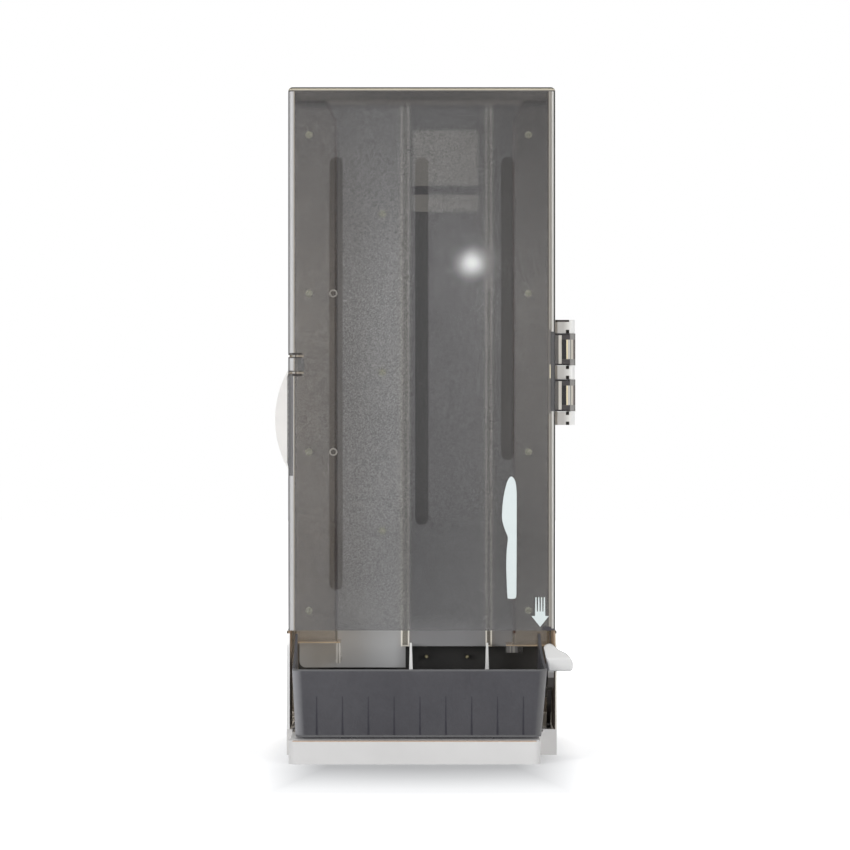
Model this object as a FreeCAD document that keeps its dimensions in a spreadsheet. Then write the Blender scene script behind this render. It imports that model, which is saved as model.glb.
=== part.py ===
import FreeCAD, Part
import math
import os
import Sketcher
from FreeCAD import Rotation, Vector

# Counter-top tower that dispenses single-use knives one at a time.  A smoke door
# covers a hopper of lying knives.  Pressing the lever at the right turns a shaft
# whose two fingers kick the lowest knife off its ledges into the pick-up tray.
#
# Frame: the origin is on the table under the middle of the body, +X is to the
# right, +Y goes to the wall behind the tower and +Z is up.  Lengths are in mm.

# ---------------------------------------------------------------- sizes
SIZES = {
    # body
    "body_width": 254.0,
    "body_depth": 222.25,
    "body_height": 628.65,
    "shell_thick": 2.8,
    "shell_corner": 4.0,
    "running_gap": 0.5,
    # back plate with its ear and wall holes
    "plate_thick": 3.0,
    "ear_middle": 315.8,
    "ear_half": 59.5,
    "ear_reach": 19.6,
    "wall_hole_radius": 2.75,
    "wall_hole_spacing": 152.4,
    "wall_hole_low": 152.4,
    "wall_hole_rise": 381.0,
    # base
    "base_height": 24.0,
    "lip_height": 21.5,
    "lip_left": 122.0,
    "lip_right": 109.0,
    "lip_corner": 8.0,
    "base_wall": 3.5,
    "base_floor": 4.0,
    "bay_side": 2.5,
    "bay_depth": 21.0,
    "cavity_start": 27.0,
    "foot_length": 24.0,
    "foot_width": 12.0,
    "foot_thick": 1.6,
    "foot_inset": 20.0,
    # door
    "tray_reach": 70.1,
    "door_bottom": 116.9,
    "door_depth": 50.0,
    "door_inset": 1.2,
    "door_wall": 3.0,
    "door_edge": 5.0,
    "door_corner": 4.0,
    "window_width": 12.5,
    "window_depth": 0.45,
    "window_spacing": 80.7,
    "window_drop": 66.35,
    "window_low": 155.0,
    "window_step": 61.15,
    "grip_middle": 315.5,
    "grip_length": 105.0,
    "grip_taper": 12.0,
    "grip_proud": 3.0,
    "grip_width": 12.0,
    "tongue_middle": 367.3,
    "tongue_height": 15.8,
    "tongue_wrap": 14.8,
    "slit_width": 2.0,
    # hinge
    "pin_offset": 14.2,
    "pin_radius": 2.0,
    "pin_recess": 0.6,
    "knuckle_radius": 6.2,
    "knuckle_height": 30.6,
    "lug_height": 12.8,
    "lug_gap": 0.3,
    "hinge_low": 310.3,
    "lug_radius": 5.5,
    "lug_ease": 3.0,
    "lug_root": 6.0,
    "notch_width": 3.2,
    "notch_height": 3.2,
    "notch_depth": 2.5,
    "top_slot": 2.0,
    "flange_thick": 2.6,
    "flange_depth": 26.0,
    "hinge_screw_setback": 18.2,
    "arm_root": 0.5,
    "bore_play": 0.05,
    "fixed_play": 0.02,
    # small screws
    "screw_radius": 1.5,
    "screw_head": 3.4,
    "screw_head_thick": 1.6,
    "screw_reach": 8.0,
    "screw_head_sides": 12,
    "screw_shank_sides": 8,
    # knife guides
    "guide_setback": 17.9,
    "guide_wall": 2.0,
    "guide_side": 6.5,
    "guide_drop": 10.95,
    "guide_chamfer_x": 10.0,
    "guide_chamfer_z": 20.0,
    "guide_edge": 4.0,
    "left_guide_edge": 80.2,
    "right_guide_edge": 86.4,
    "left_guide_bottom": 103.6,
    "right_guide_bottom": 100.7,
    "boss_radius": 3.8,
    "boss_low": 134.5,
    "boss_drop": 32.6,
    "boss_count": 4,
    "left_boss": 106.8,
    "right_boss": 101.0,
    "left_ledge_width": 3.6,
    "left_ledge_bottom": 86.5,
    "right_ledge_edge": 80.3,
    "right_ledge_end": 96.0,
    "right_ledge_bottom": 94.2,
    "ledge_front": 4.0,
    "ledge_boss": 2.6,
    "ledge_inset": 0.8,
    "cross_rib_low": 232.6,
    "cross_rib_step": 127.4,
    "cross_rib_thick": 1.6,
    "cross_rib_depth": 12.0,
    # chute back, its ribs and label
    "chute_thick": 2.5,
    "chute_bottom": 98.0,
    "tongue_left": 117.4,
    "tongue_right": 15.6,
    "chute_tongue_bottom": 77.6,
    "chute_corner": 6.0,
    "chute_flange": 16.0,
    "chute_shoulder": 121.0,
    "chute_gap": 0.1,
    "rib_proud": 3.0,
    "left_rib_middle": 16.0,
    "left_rib_width": 8.0,
    "right_rib_middle": 64.2,
    "right_rib_width": 6.1,
    "rib_lip": 1.3,
    "rib_web": 0.9,
    "back_screw_side": 37.7,
    "back_screw_low": 208.9,
    "back_screw_step": 152.0,
    "label_width": 62.5,
    "label_height": 78.0,
    "label_drop": 35.65,
    "label_middle": 22.8,
    "label_thick": 0.3,
    "label_corner": 3.0,
    # latch keeper
    "keeper_width": 6.5,
    "keeper_height": 12.5,
    "keeper_depth": 9.5,
    "keeper_side": 117.4,
    # tray
    "tray_inset": 4.0,
    "tray_lean": 6.0,
    "tray_left": 119.2,
    "tray_right": 116.0,
    "tray_taper_left": 2.9,
    "tray_taper_right": 4.7,
    "tray_draw": 4.8,
    "tray_length": 82.0,
    "tray_rim": 86.3,
    "tray_lift": 2.2,
    "tray_wall": 2.4,
    "tray_corner": 10.0,
    "wing_top": 113.5,
    "wing_curve": 110.0,
    "tray_back_top": 70.0,
    "tray_rib_count": 9,
    "tray_rib_step": 23.7,
    "tray_rib_start": 97.0,
    "tray_rib_thick": 1.4,
    "tray_rib_top": 62.0,
    "tray_rib_proud": 3.0,
    "tray_rib_run": 4.0,
    "tray_rib_rise": 6.0,
    "wing_start": 2.0,
    "runner_side": 70.0,
    "runner_width": 9.0,
    # mechanism
    "shaft_back": 119.1,
    "shaft_height": 58.0,
    "shaft_radius": 3.0,
    "shaft_left": 42.0,
    "bush_radius": 5.0,
    "bush_flange": 6.8,
    "bush_flange_thick": 1.2,
    "frame_left": 119.0,
    "frame_right": 114.0,
    "frame_top": 96.0,
    "frame_wall": 3.0,
    "frame_back": 21.0,
    "post_thick": 5.0,
    "post_left": 30.0,
    "post_right": 88.0,
    "post_top": 10.0,
    "post_front": 9.0,
    "frame_flange": 3.0,
    "stud_height": 86.7,
    "stud_left": 4.7,
    "stud_right": 43.7,
    "stud_radius": 2.0,
    "stud_sides": 12,
    "finger_left": 10.5,
    "finger_right": 62.5,
    "finger_thick": 4.0,
    "finger_tip_thick": 1.8,
    "finger_hub": 7.5,
    "finger_top": 101.8,
    "finger_tip": 6.0,
    "finger_lead": 9.0,
    "finger_shoulder": 2.0,
    "set_pin_side": 2.2,
    # lever
    "arm_inner": 117.5,
    "arm_thick": 5.5,
    "hub_radius": 9.0,
    "pad_front": 39.0,
    "pad_depth": 27.0,
    "pad_left": 114.4,
    "pad_right": 140.6,
    "pad_bottom": 81.5,
    "pad_top": 104.0,
    "pad_saddle": 97.0,
    "pad_lip": 93.2,
    "pad_brim": 5.0,
    "pad_edge": 2.0,
    "pad_heel": 3.4,
    "pad_corner": 3.0,
    "pad_lobe": 8.5,
    "pad_lobe_radius": 6.0,
    "pad_lobe_drop": 2.5,
    "pad_sweep": 34.0,
    "pad_tip_run": 7.0,
    "pad_tip_radius": 12.5,
    "pad_tip_drop": 7.5,
    "arm_half": 8.5,
    "arm_lap": 2.0,
    "arm_shoulder": 4.0,
    "arm_nose": 12.0,
    "arm_low": 65.5,
    "arm_heel": 62.5,
    # return spring
    "spring_back": 94.6,
    "spring_run": 21.0,
    "spring_width": 4.0,
    "strip_thick": 0.6,
    "strip_slant": 0.7,
    "fold_radius": 3.0,
    "spring_play": 0.2,
}

doc = FreeCAD.newDocument("cutlery_dispenser")
dims = doc.addObject("Spreadsheet::Sheet", "dims")
for row, (alias, number) in enumerate(SIZES.items(), 1):
    dims.set(f"A{row}", alias)
    dims.set(f"B{row}", str(number))
    dims.setAlias(f"B{row}", alias)
doc.recompute()


class Size:
    """A length that carries its number and the formula that ties it to the sheet."""

    def __init__(self, number, formula):
        self.number = number
        self.formula = formula

    def __float__(self):
        return float(self.number)

    def __neg__(self):
        return Size(-self.number, f"(-1 * {self.formula})")

    def __add__(self, other):
        other = as_size(other)
        return Size(self.number + other.number, f"({self.formula} + {other.formula})")

    def __sub__(self, other):
        other = as_size(other)
        return Size(self.number - other.number, f"({self.formula} - {other.formula})")

    def __mul__(self, other):
        other = as_size(other)
        return Size(self.number * other.number, f"({self.formula} * {other.formula})")

    def __truediv__(self, other):
        other = as_size(other)
        return Size(self.number / other.number, f"({self.formula} / {other.formula})")


def as_size(value):
    """A plain number becomes a Size too, so that both can stand in a formula."""
    if isinstance(value, Size):
        return value
    return Size(value, f"({value})")


class Sheet:
    """The sheet's cells by their aliases."""

    def __getattr__(self, alias):
        return Size(dims.get(alias), f"dims.{alias}")


s = Sheet()
PARTS = []


# ---------------------------------------------------------------- modelling helpers
def bind(thing, prop, value):
    """Tie a property of an object to the sheet."""
    thing.setExpression(prop, as_size(value).formula)


# Each axis has an origin plane square to it, whose normal may point the other way.
PLANES = {"X": ("YZ_Plane", 1), "Y": ("XZ_Plane", -1), "Z": ("XY_Plane", 1)}


def origin_item(body, role):
    """One of the planes or axes of a body's own origin."""
    return next(item for item in body.Origin.OriginFeatures if item.Role == role)


def outline(points, bends=None):
    """A closed outline.  bends maps an edge's number to its (radius, side)."""
    return ("outline", points, bends or {})


def rectangle(x_low, x_high, y_low, y_high):
    """An outline with square corners."""
    return outline([(x_low, y_low), (x_high, y_low), (x_high, y_high), (x_low, y_high)])


def rounded(x_low, x_high, y_low, y_high, radius):
    """A rectangle whose four corners are quarter circles."""
    x_in, x_out = as_size(x_low) + radius, as_size(x_high) - radius
    y_in, y_out = as_size(y_low) + radius, as_size(y_high) - radius
    points = [
        (x_in, y_low), (x_out, y_low), (x_high, y_in), (x_high, y_out),
        (x_out, y_high), (x_in, y_high), (x_low, y_out), (x_low, y_in),
    ]
    return outline(points, {edge: (radius, "left") for edge in (1, 3, 5, 7)})


def slot(x, y_low, y_high, width):
    """An upright slot with round ends."""
    radius = as_size(width) / 2
    low, high = as_size(y_low) + radius, as_size(y_high) - radius
    points = [
        (as_size(x) + radius, low), (as_size(x) + radius, high), (x, y_high),
        (as_size(x) - radius, high), (as_size(x) - radius, low), (x, y_low),
    ]
    return outline(points, {edge: (radius, "left") for edge in (1, 2, 4, 5)})


def circle(x, y, radius):
    """A round hole or disc."""
    return ("circle", (x, y), radius)


def ring(x, y, sides, radius):
    """A hole with flat sides, which matches a prism of as many sides."""
    turn = 2 * math.pi / float(sides)
    return outline([
        (as_size(x) + radius * round(math.cos(turn * i), 6),
         as_size(y) + radius * round(math.sin(turn * i), 6))
        for i in range(int(float(sides)))
    ])


def screw_hole(x, y):
    """The hole of a small screw, whose shank has flat sides."""
    return ring(x, y, s.screw_shank_sides, s.screw_radius + s.fixed_play)


def hold_point(sketch, edge, end, x, y):
    """Hold one point of a sketch at its distance from the sketch's origin."""
    for kind, place in (("DistanceX", x), ("DistanceY", y)):
        rule = Sketcher.Constraint(kind, -1, 1, edge, end, float(place))
        bind(sketch, f"Constraints[{sketch.addConstraint(rule)}]", place)


def hold_radius(sketch, edge, radius):
    """Hold the radius of a circle or an arc."""
    rule = Sketcher.Constraint("Radius", edge, float(radius))
    bind(sketch, f"Constraints[{sketch.addConstraint(rule)}]", radius)


def bent_edge(start, end, radius, side):
    """An arc between two points that turns to one side, and which of its ends comes first."""
    half = (end - start) / 2
    rise = math.sqrt(radius ** 2 - half.Length ** 2)
    across = Vector(-half.y, half.x, 0).normalize()
    if side == "right":
        across = -across
        start, end = end, start
    centre = (start + end) / 2 + across * rise
    first, last = start - centre, end - centre
    ring = Part.Circle(centre, Vector(0, 0, 1), radius)
    arc = Part.ArcOfCircle(ring, math.atan2(first.y, first.x), math.atan2(last.y, last.x))
    return arc, (2, 1) if side == "right" else (1, 2)


def draw_outline(sketch, points, bends):
    """Lines and arcs through the points, joined at their ends and held in place."""
    first = sketch.GeometryCount
    count = len(points)
    ends = []
    for edge in range(count):
        start, end = (
            Vector(float(x), float(y), 0) for x, y in (points[edge], points[(edge + 1) % count])
        )
        piece, order = Part.LineSegment(start, end), (1, 2)
        if edge in bends:
            radius, side = bends[edge]
            piece, order = bent_edge(start, end, float(radius), side)
        sketch.addGeometry(piece, False)
        ends.append(order)
    for edge in range(count):
        after = (edge + 1) % count
        sketch.addConstraint(Sketcher.Constraint(
            "Coincident", first + edge, ends[edge][1], first + after, ends[after][0]))
    for edge, (x, y) in enumerate(points):
        hold_point(sketch, first + edge, ends[edge][0], x, y)
        if edge in bends:
            hold_radius(sketch, first + edge, bends[edge][0])


def new_sketch(body, axis, at, shapes):
    """A sketch square to an axis, at a place on that axis."""
    role, sense = PLANES[axis]
    sketch = body.newObject("Sketcher::SketchObject", f"{body.Name}_sketch")
    sketch.AttachmentSupport = (origin_item(body, role), [""])
    sketch.MapMode = "FlatFace"
    bind(sketch, "AttachmentOffset.Base.z", as_size(at) * sense)
    for shape in shapes:
        if shape[0] == "circle":
            (x, y), radius = shape[1], shape[2]
            centre = Vector(float(x), float(y), 0)
            edge = sketch.addGeometry(Part.Circle(centre, Vector(0, 0, 1), float(radius)), False)
            hold_point(sketch, edge, 3, x, y)
            hold_radius(sketch, edge, radius)
        else:
            draw_outline(sketch, shape[1], shape[2])
    return sketch


def check(thing):
    """Stop when an object has failed, which a recompute alone doesn't do."""
    doc.recompute()
    if {"Invalid", "Error"} & set(thing.State) or thing.Shape.isNull() or not thing.Shape.isValid():
        raise RuntimeError(f"{thing.Label} can't be built: {thing.State}")
    return thing


def extrude(kind, body, axis, start, end, *shapes):
    """A Pad or a Pocket between two places on an axis."""
    start, end = as_size(start), as_size(end)
    before = body.Shape.Volume if body.Tip else 0
    sketch = new_sketch(body, axis, start, shapes)
    feature = body.newObject(f"PartDesign::{kind}", f"{body.Name}_{kind}")
    feature.Profile = (sketch, [""])
    forward = float(end) > float(start)
    bind(feature, "Length", end - start if forward else start - end)
    along_normal = forward == (PLANES[axis][1] > 0)
    feature.Reversed = along_normal if kind == "Pocket" else not along_normal
    check(feature)
    if (kind == "Pocket") != (feature.Shape.Volume < before):
        raise RuntimeError(f"{feature.Label} leaves the volume as it was")
    return feature


def pad(body, axis, start, end, *shapes):
    return extrude("Pad", body, axis, start, end, *shapes)


def pocket(body, axis, start, end, *shapes):
    return extrude("Pocket", body, axis, start, end, *shapes)


def edges(body, along=None, **places):
    """Names of the body's edges that lie at the given places, such as X=width or Z=(low, high)."""
    names = []
    for number, edge in enumerate(body.Tip.Shape.Edges, 1):
        box = edge.BoundBox
        spans = {"X": (box.XMin, box.XMax), "Y": (box.YMin, box.YMax), "Z": (box.ZMin, box.ZMax)}
        fits = True
        for axis, place in places.items():
            low, high = place if isinstance(place, tuple) else (place, place)
            fits &= spans[axis][0] > float(low) - 0.01 and spans[axis][1] < float(high) + 0.01
        if along:
            others = [span for axis, span in spans.items() if axis != along]
            fits &= all(high - low < 0.01 for low, high in others)
            fits &= spans[along][1] - spans[along][0] > 0.01
        if fits:
            names.append(f"Edge{number}")
    return names


def dress(kind, body, names, amount):
    """A Fillet or Chamfer on the named edges."""
    if not names:
        raise RuntimeError(f"{body.Label} has no edge for its {kind}")
    feature = body.newObject(f"PartDesign::{kind}", f"{body.Name}_{kind}")
    feature.Base = (body.Tip if body.Tip != feature else feature.BaseFeature, names)
    bind(feature, "Radius" if kind == "Fillet" else "Size", amount)
    return check(feature)


def fillet(body, names, radius):
    return dress("Fillet", body, names, radius)


def chamfer(body, names, amount):
    return dress("Chamfer", body, names, amount)


def new_body(label):
    """A body that becomes one of the parts."""
    body = doc.addObject("PartDesign::Body", label)
    body.Label = label
    PARTS.append(body)
    return body


# Turns that lay a cylinder, which stands along Z, along the other axes.
TURNS = {
    "X": Rotation(Vector(0, 1, 0), 90),
    "-X": Rotation(Vector(0, 1, 0), -90),
    "Y": Rotation(Vector(1, 0, 0), -90),
    "-Y": Rotation(Vector(1, 0, 0), 90),
    "Z": Rotation(),
    "-Z": Rotation(Vector(1, 0, 0), 180),
}


def place(thing, spot, direction="Z"):
    """Put a primitive at a spot of sizes, turned to point in a direction."""
    thing.Placement.Rotation = TURNS[direction]
    for axis, value in zip("xyz", spot):
        bind(thing, f"Placement.Base.{axis}", value)


def cylinder(name, spot, direction, radius, length):
    """A Part cylinder that starts at a spot and points in a direction."""
    rod = doc.addObject("Part::Cylinder", name)
    bind(rod, "Radius", radius)
    bind(rod, "Height", length)
    place(rod, spot, direction)
    return rod


def fuse(name, pieces):
    """One solid out of several primitives."""
    whole = doc.addObject("Part::MultiFuse", name)
    whole.Shapes = pieces
    whole.Refine = True
    return check(whole)


def cut(name, base, tool):
    """One solid with another taken out of it."""
    rest = doc.addObject("Part::Cut", name)
    rest.Base = base
    rest.Tool = tool
    return check(rest)


def group(label, solids):
    """Identical small pieces that share one part as separate solids."""
    whole = doc.addObject("Part::Compound", label)
    whole.Links = solids
    whole.Label = label
    PARTS.append(check(whole))
    return whole


def prism(name, spot, direction, sides, radius, length):
    """A Part prism that starts at a spot and points in a direction."""
    rod = doc.addObject("Part::Prism", name)
    bind(rod, "Polygon", sides)
    bind(rod, "Circumradius", radius)
    bind(rod, "Height", length)
    place(rod, spot, direction)
    return rod


def block(name, corner, lengths):
    """A Part box that stands on a corner of sizes."""
    box = doc.addObject("Part::Box", name)
    for prop, length in zip(("Length", "Width", "Height"), lengths):
        bind(box, prop, length)
    place(box, corner)
    return box


def screw(name, spot, direction, reach):
    """A screw whose head sits on a face at the spot, its shank pointing inwards."""
    step = -1 if direction.startswith("-") else 1
    index = "XYZ".index(direction[-1])
    top = list(spot)
    top[index] = as_size(spot[index]) - s.screw_head_thick * step
    head = prism(f"{name}_head", top, direction, s.screw_head_sides,
                 s.screw_head, s.screw_head_thick)
    shank = prism(f"{name}_shank", spot, direction, s.screw_shank_sides, s.screw_radius, reach)
    return fuse(name, [head, shank])


# ---------------------------------------------------------------- places that pieces share
half_width = s.body_width / 2
front = -(s.body_depth / 2)
back = s.body_depth / 2
plate_face = back - s.plate_thick
shell_inside = half_width - s.shell_thick
door_front = front + s.tray_reach
door_back = door_front + s.door_depth
door_side = half_width - s.door_inset
seam = door_back + s.running_gap
pin_x = half_width + s.pin_offset
pin_y = seam + s.running_gap
guide_face = door_front + s.guide_setback
chute_face = door_back + s.chute_gap
chute_rear = chute_face + s.chute_thick
guide_outside = half_width - s.guide_side
guide_top = s.body_height - s.guide_drop
tray_front = front + s.tray_inset
tray_back = tray_front + s.tray_length
tray_floor = s.lip_height + s.tray_lift
shaft_y = front + s.shaft_back
shaft_z = s.shaft_height
lever_inside = s.arm_inner
lever_outside = s.arm_inner + s.arm_thick


# ---------------------------------------------------------------- base
def make_base():
    """Flat-bottomed pan with a lip in front that carries the tray."""
    base = new_body("base")
    bay_back = door_front + s.bay_depth
    cavity_front = door_front + s.cavity_start
    pad(base, "Z", 0, s.base_height, rectangle(-half_width, half_width, door_front, back))
    pad(base, "Z", 0, s.lip_height, rectangle(-s.lip_left, s.lip_right, front, door_front + 1))
    fillet(base, edges(base, "Z", Y=front), s.lip_corner)
    bay_left = -(s.tray_left + s.bay_side)
    bay_right = s.tray_right - s.tray_taper_right + s.bay_side
    pocket(base, "Z", s.base_height + 1, s.lip_height,
           rectangle(bay_left, bay_right, door_front - 1, bay_back))
    inner = half_width - s.base_wall
    pocket(base, "Z", s.base_height + 1, s.base_floor,
           rectangle(-inner, inner, cavity_front, back - s.base_wall))
    pocket(base, "X", -(s.lip_left - s.base_wall), s.lip_right - s.base_wall,
           rectangle(front + s.base_wall, cavity_front + 1,
                     s.base_floor, s.lip_height - s.base_wall))
    recesses = [
        rectangle(x - s.foot_length / 2, x + s.foot_length / 2,
                  y - s.foot_width / 2, y + s.foot_width / 2)
        for x, y in feet()
    ]
    pocket(base, "Z", -1, s.foot_thick, *recesses)
    chamfer(base, edges(base, "X", Y=front, Z=s.lip_height), 0.8)
    return base


def feet():
    """Middles of the four rubber pads."""
    left = -(s.lip_left - s.foot_inset)
    right = s.lip_right - s.foot_inset
    near = front + s.foot_inset
    far = back - s.foot_inset
    return [(left, near), (right, near), (left, far), (right, far)]


def make_foot_pads():
    """Rubber pads let into the underside of the base."""
    pads = [
        block(f"foot_pad_{i}", (x - s.foot_length / 2, y - s.foot_width / 2, 0),
              (s.foot_length, s.foot_width, s.foot_thick))
        for i, (x, y) in enumerate(feet(), 1)
    ]
    return group("foot_pads", pads)


# ---------------------------------------------------------------- housing
def make_housing():
    """Side walls and top in one moulding, with low cheeks that reach forward beside the tray."""
    housing = new_body("housing")
    cheek_top = s.door_bottom - s.running_gap
    side = outline([
        (plate_face, s.base_height), (door_front, s.base_height), (door_front, cheek_top),
        (seam, cheek_top), (seam, s.body_height), (plate_face, s.body_height),
    ])
    pad(housing, "X", -half_width, half_width, side)
    fillet(housing, edges(housing, "Y", Z=s.body_height), s.shell_corner)
    fillet(housing, edges(housing, "X", Y=door_front, Z=cheek_top), s.shell_corner)
    room = rectangle(door_front - 1, plate_face + 1, s.base_height - 1,
                     s.body_height - s.shell_thick)
    pocket(housing, "X", -shell_inside, shell_inside, room)
    holes = [screw_hole(y, z) for y, z in hinge_screw_spots()]
    pocket(housing, "X", shell_inside - 1, half_width + 1, *holes)
    return housing


def make_back_plate():
    """Flat plate behind the housing, with a thumb ear at the left and four wall holes."""
    plate = new_body("back_plate")
    ear_radius = (s.ear_half * s.ear_half + s.ear_reach * s.ear_reach) / (s.ear_reach * 2)
    face = outline([
        (-half_width, s.base_height), (half_width, s.base_height), (half_width, s.body_height),
        (-half_width, s.body_height), (-half_width, s.ear_middle + s.ear_half),
        (-half_width, s.ear_middle - s.ear_half),
    ], {4: (ear_radius, "left")})
    pad(plate, "Y", plate_face, back, face)
    top_corners = edges(plate, "Y", Z=s.body_height)
    fillet(plate, top_corners, s.shell_corner)
    side = s.wall_hole_spacing / 2
    high = s.wall_hole_low + s.wall_hole_rise
    holes = [
        circle(x, z, s.wall_hole_radius)
        for x in (-side, side) for z in (s.wall_hole_low, high)
    ]
    pocket(plate, "Y", plate_face - 1, back + 1, *holes)
    return plate


# ---------------------------------------------------------------- hinge
def hinge_screw_spots():
    """Places of the hinge bracket's screws, each halfway up a knuckle."""
    rise = s.lug_height + s.lug_gap + s.knuckle_height / 2
    return [(seam + s.hinge_screw_setback, bottom + rise) for bottom in lug_bottoms()[:2]]


def lug_bottoms():
    """Undersides of the bracket's three lugs."""
    rise = s.lug_height + s.knuckle_height + s.lug_gap * 2
    return [s.hinge_low + rise * i for i in range(3)]


def make_hinge_bracket():
    """Flange on the housing's right side with three notched lugs for the hinge pin."""
    bracket = new_body("hinge_bracket")
    hinge_top = lug_bottoms()[2] + s.lug_height
    flange = rectangle(half_width, half_width + s.flange_thick, seam, seam + s.flange_depth)
    pad(bracket, "Z", s.hinge_low, hinge_top, flange)
    lug_front, lug_back = pin_y - s.lug_radius, pin_y + s.lug_radius
    lug = outline([
        (half_width, seam), (half_width + s.lug_ease, lug_front), (pin_x, lug_front),
        (pin_x, lug_back), (half_width, lug_back + s.lug_root),
    ])
    for bottom in lug_bottoms():
        pad(bracket, "Z", bottom, bottom + s.lug_height, lug)
        pad(bracket, "Z", bottom, bottom + s.lug_height, circle(pin_x, pin_y, s.lug_radius))
    pocket(bracket, "Z", s.hinge_low - 1, hinge_top + 1,
           circle(pin_x, pin_y, s.pin_radius + s.fixed_play))
    holes = [screw_hole(y, z) for y, z in hinge_screw_spots()]
    pocket(bracket, "X", half_width - 1, half_width + s.flange_thick + 1, *holes)
    pocket(bracket, "Y", lug_front - 1, lug_front + s.notch_depth, *lug_notches(hinge_top))
    return bracket


def lug_notches(hinge_top):
    """Notches in the lugs' fronts beside the pin, and a slot over the top lug, seen from the front."""
    notch_left = pin_x - s.notch_width
    notches = [
        rectangle(notch_left, pin_x, bottom - 1, bottom + s.notch_height)
        for bottom in lug_bottoms()
    ]
    notches += [
        rectangle(notch_left, pin_x, bottom + s.lug_height - s.notch_height,
                  bottom + s.lug_height + 1)
        for bottom in lug_bottoms()[:2]
    ]
    notches.append(rectangle(half_width + s.flange_thick, pin_x, hinge_top - s.top_slot,
                             hinge_top + 1))
    return notches


def make_hinge_pin():
    """Steel pin whose ends lie just inside the outer lugs."""
    bottom = s.hinge_low + s.pin_recess
    top = lug_bottoms()[2] + s.lug_height - s.pin_recess
    pin = cylinder("hinge_pin", (pin_x, pin_y, bottom), "Z", s.pin_radius, top - bottom)
    pin.Label = "hinge_pin"
    PARTS.append(check(pin))
    return pin


def make_hinge_screws():
    """Screws through the flange into the housing's side."""
    face = half_width + s.flange_thick
    screws = [
        screw(f"hinge_screw_{i}", (face, y, z), "-X", s.flange_thick + s.shell_thick)
        for i, (y, z) in enumerate(hinge_screw_spots(), 1)
    ]
    return group("hinge_screws", screws)


# ---------------------------------------------------------------- door
def make_door():
    """Smoke cover of the hopper: a deep lid, open at the back and the bottom."""
    door = new_body("door")
    pad(door, "Y", door_back, door_front,
        rectangle(-door_side, door_side, s.door_bottom, s.body_height))
    fillet(door, edges(door, "Y", Z=s.body_height), s.door_corner)
    high_rim = edges(door, Y=door_front, Z=(s.door_bottom + 1, s.body_height))
    sides = edges(door, "Z", Y=door_front)
    fillet(door, sorted(set(high_rim + sides)), s.door_edge)
    inside = door_side - s.door_wall
    pocket(door, "Y", door_back + 1, door_front + s.door_wall,
           rectangle(-inside, inside, s.door_bottom - 1, s.body_height - s.door_wall))
    bottoms = [s.window_low + s.window_step * i for i in range(3)]
    window_top = s.body_height - s.window_drop
    for side, bottom in zip((-1, 0, 1), bottoms):
        pocket(door, "Y", door_front - 1, door_front + s.window_depth,
               slot(s.window_spacing * side, bottom, window_top, s.window_width))
    add_grip(door)
    add_tongue(door)
    add_knuckles(door)
    return door


def add_grip(door):
    """Shallow ridge on the left side that a finger pulls."""
    low, high = s.grip_middle - s.grip_length / 2, s.grip_middle + s.grip_length / 2
    proud = -(door_side + s.grip_proud)
    root = -(door_side - s.door_wall / 2)
    ridge = outline([
        (root, low), (-door_side, low), (proud, low + s.grip_taper),
        (proud, high - s.grip_taper), (-door_side, high), (root, high),
    ])
    pad(door, "Y", door_back - s.grip_width, door_back, ridge)
    fillet(door, edges(door, "Z", X=proud), s.grip_proud / 3)


def add_tongue(door):
    """Two slits that free a springy tongue at the left edge."""
    end = -door_side + s.tongue_wrap
    for middle in (s.tongue_middle - s.tongue_height / 2, s.tongue_middle + s.tongue_height / 2):
        pocket(door, "Y", door_front - 1, door_back + 1,
               rectangle(-(door_side + 1), end, middle - s.slit_width / 2, middle + s.slit_width / 2))


def add_knuckles(door):
    """Two knuckles that sit between the bracket's lugs."""
    arm_back = pin_y - s.running_gap * 2
    arm = rectangle(door_side - s.arm_root, pin_x, pin_y - s.knuckle_radius, arm_back)
    for lug_bottom in lug_bottoms()[:2]:
        bottom = lug_bottom + s.lug_height + s.lug_gap
        pad(door, "Z", bottom, bottom + s.knuckle_height, circle(pin_x, pin_y, s.knuckle_radius))
        pad(door, "Z", bottom, bottom + s.knuckle_height, arm)
    pocket(door, "Z", s.hinge_low, lug_bottoms()[2] + s.lug_height,
           circle(pin_x, pin_y, s.pin_radius + s.bore_play))


# ---------------------------------------------------------------- knife guides
def boss_heights():
    """Heights of the screw bosses of the guides, evenly spread."""
    count = SIZES["boss_count"]
    step = (guide_top - s.boss_drop - s.boss_low) / (s.boss_count - 1)
    return [s.boss_low + step * i for i in range(count)]


def make_guide(label, side, edge, bottom, boss):
    """Hollow shoulder at one side of the hopper; side is -1 at the left and 1 at the right."""
    guide = new_body(label)

    def guide_outline(inset):
        """The guide seen from the front, made smaller by an inset."""
        outer, inner = (guide_outside - inset) * side, (edge + inset) * side
        top = guide_top - inset
        points = [
            (outer, bottom + inset), (inner, bottom + inset), (inner, top - s.guide_chamfer_z),
            (inner + s.guide_chamfer_x * side, top), (outer, top),
        ]
        return outline(points)

    pad(guide, "Y", guide_face, chute_face, guide_outline(as_size(0)))
    fillet(guide, edges(guide, "Z", X=guide_outside * side, Y=guide_face), s.guide_edge)
    fillet(guide, edges(guide, "Z", X=edge * side, Y=guide_face), s.guide_wall)
    pocket(guide, "Y", chute_face + 1, guide_face + s.guide_wall, guide_outline(s.guide_wall))
    discs = [circle(boss * side, z, s.boss_radius) for z in boss_heights()]
    pad(guide, "Y", guide_face + s.guide_wall / 2, chute_face, *discs)
    return guide


def drill_guide(guide, boss):
    """Screw holes through the bosses."""
    holes = [screw_hole(boss, z) for z in boss_heights()]
    pocket(guide, "Y", guide_face - 1, chute_face + 1, *holes)


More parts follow.
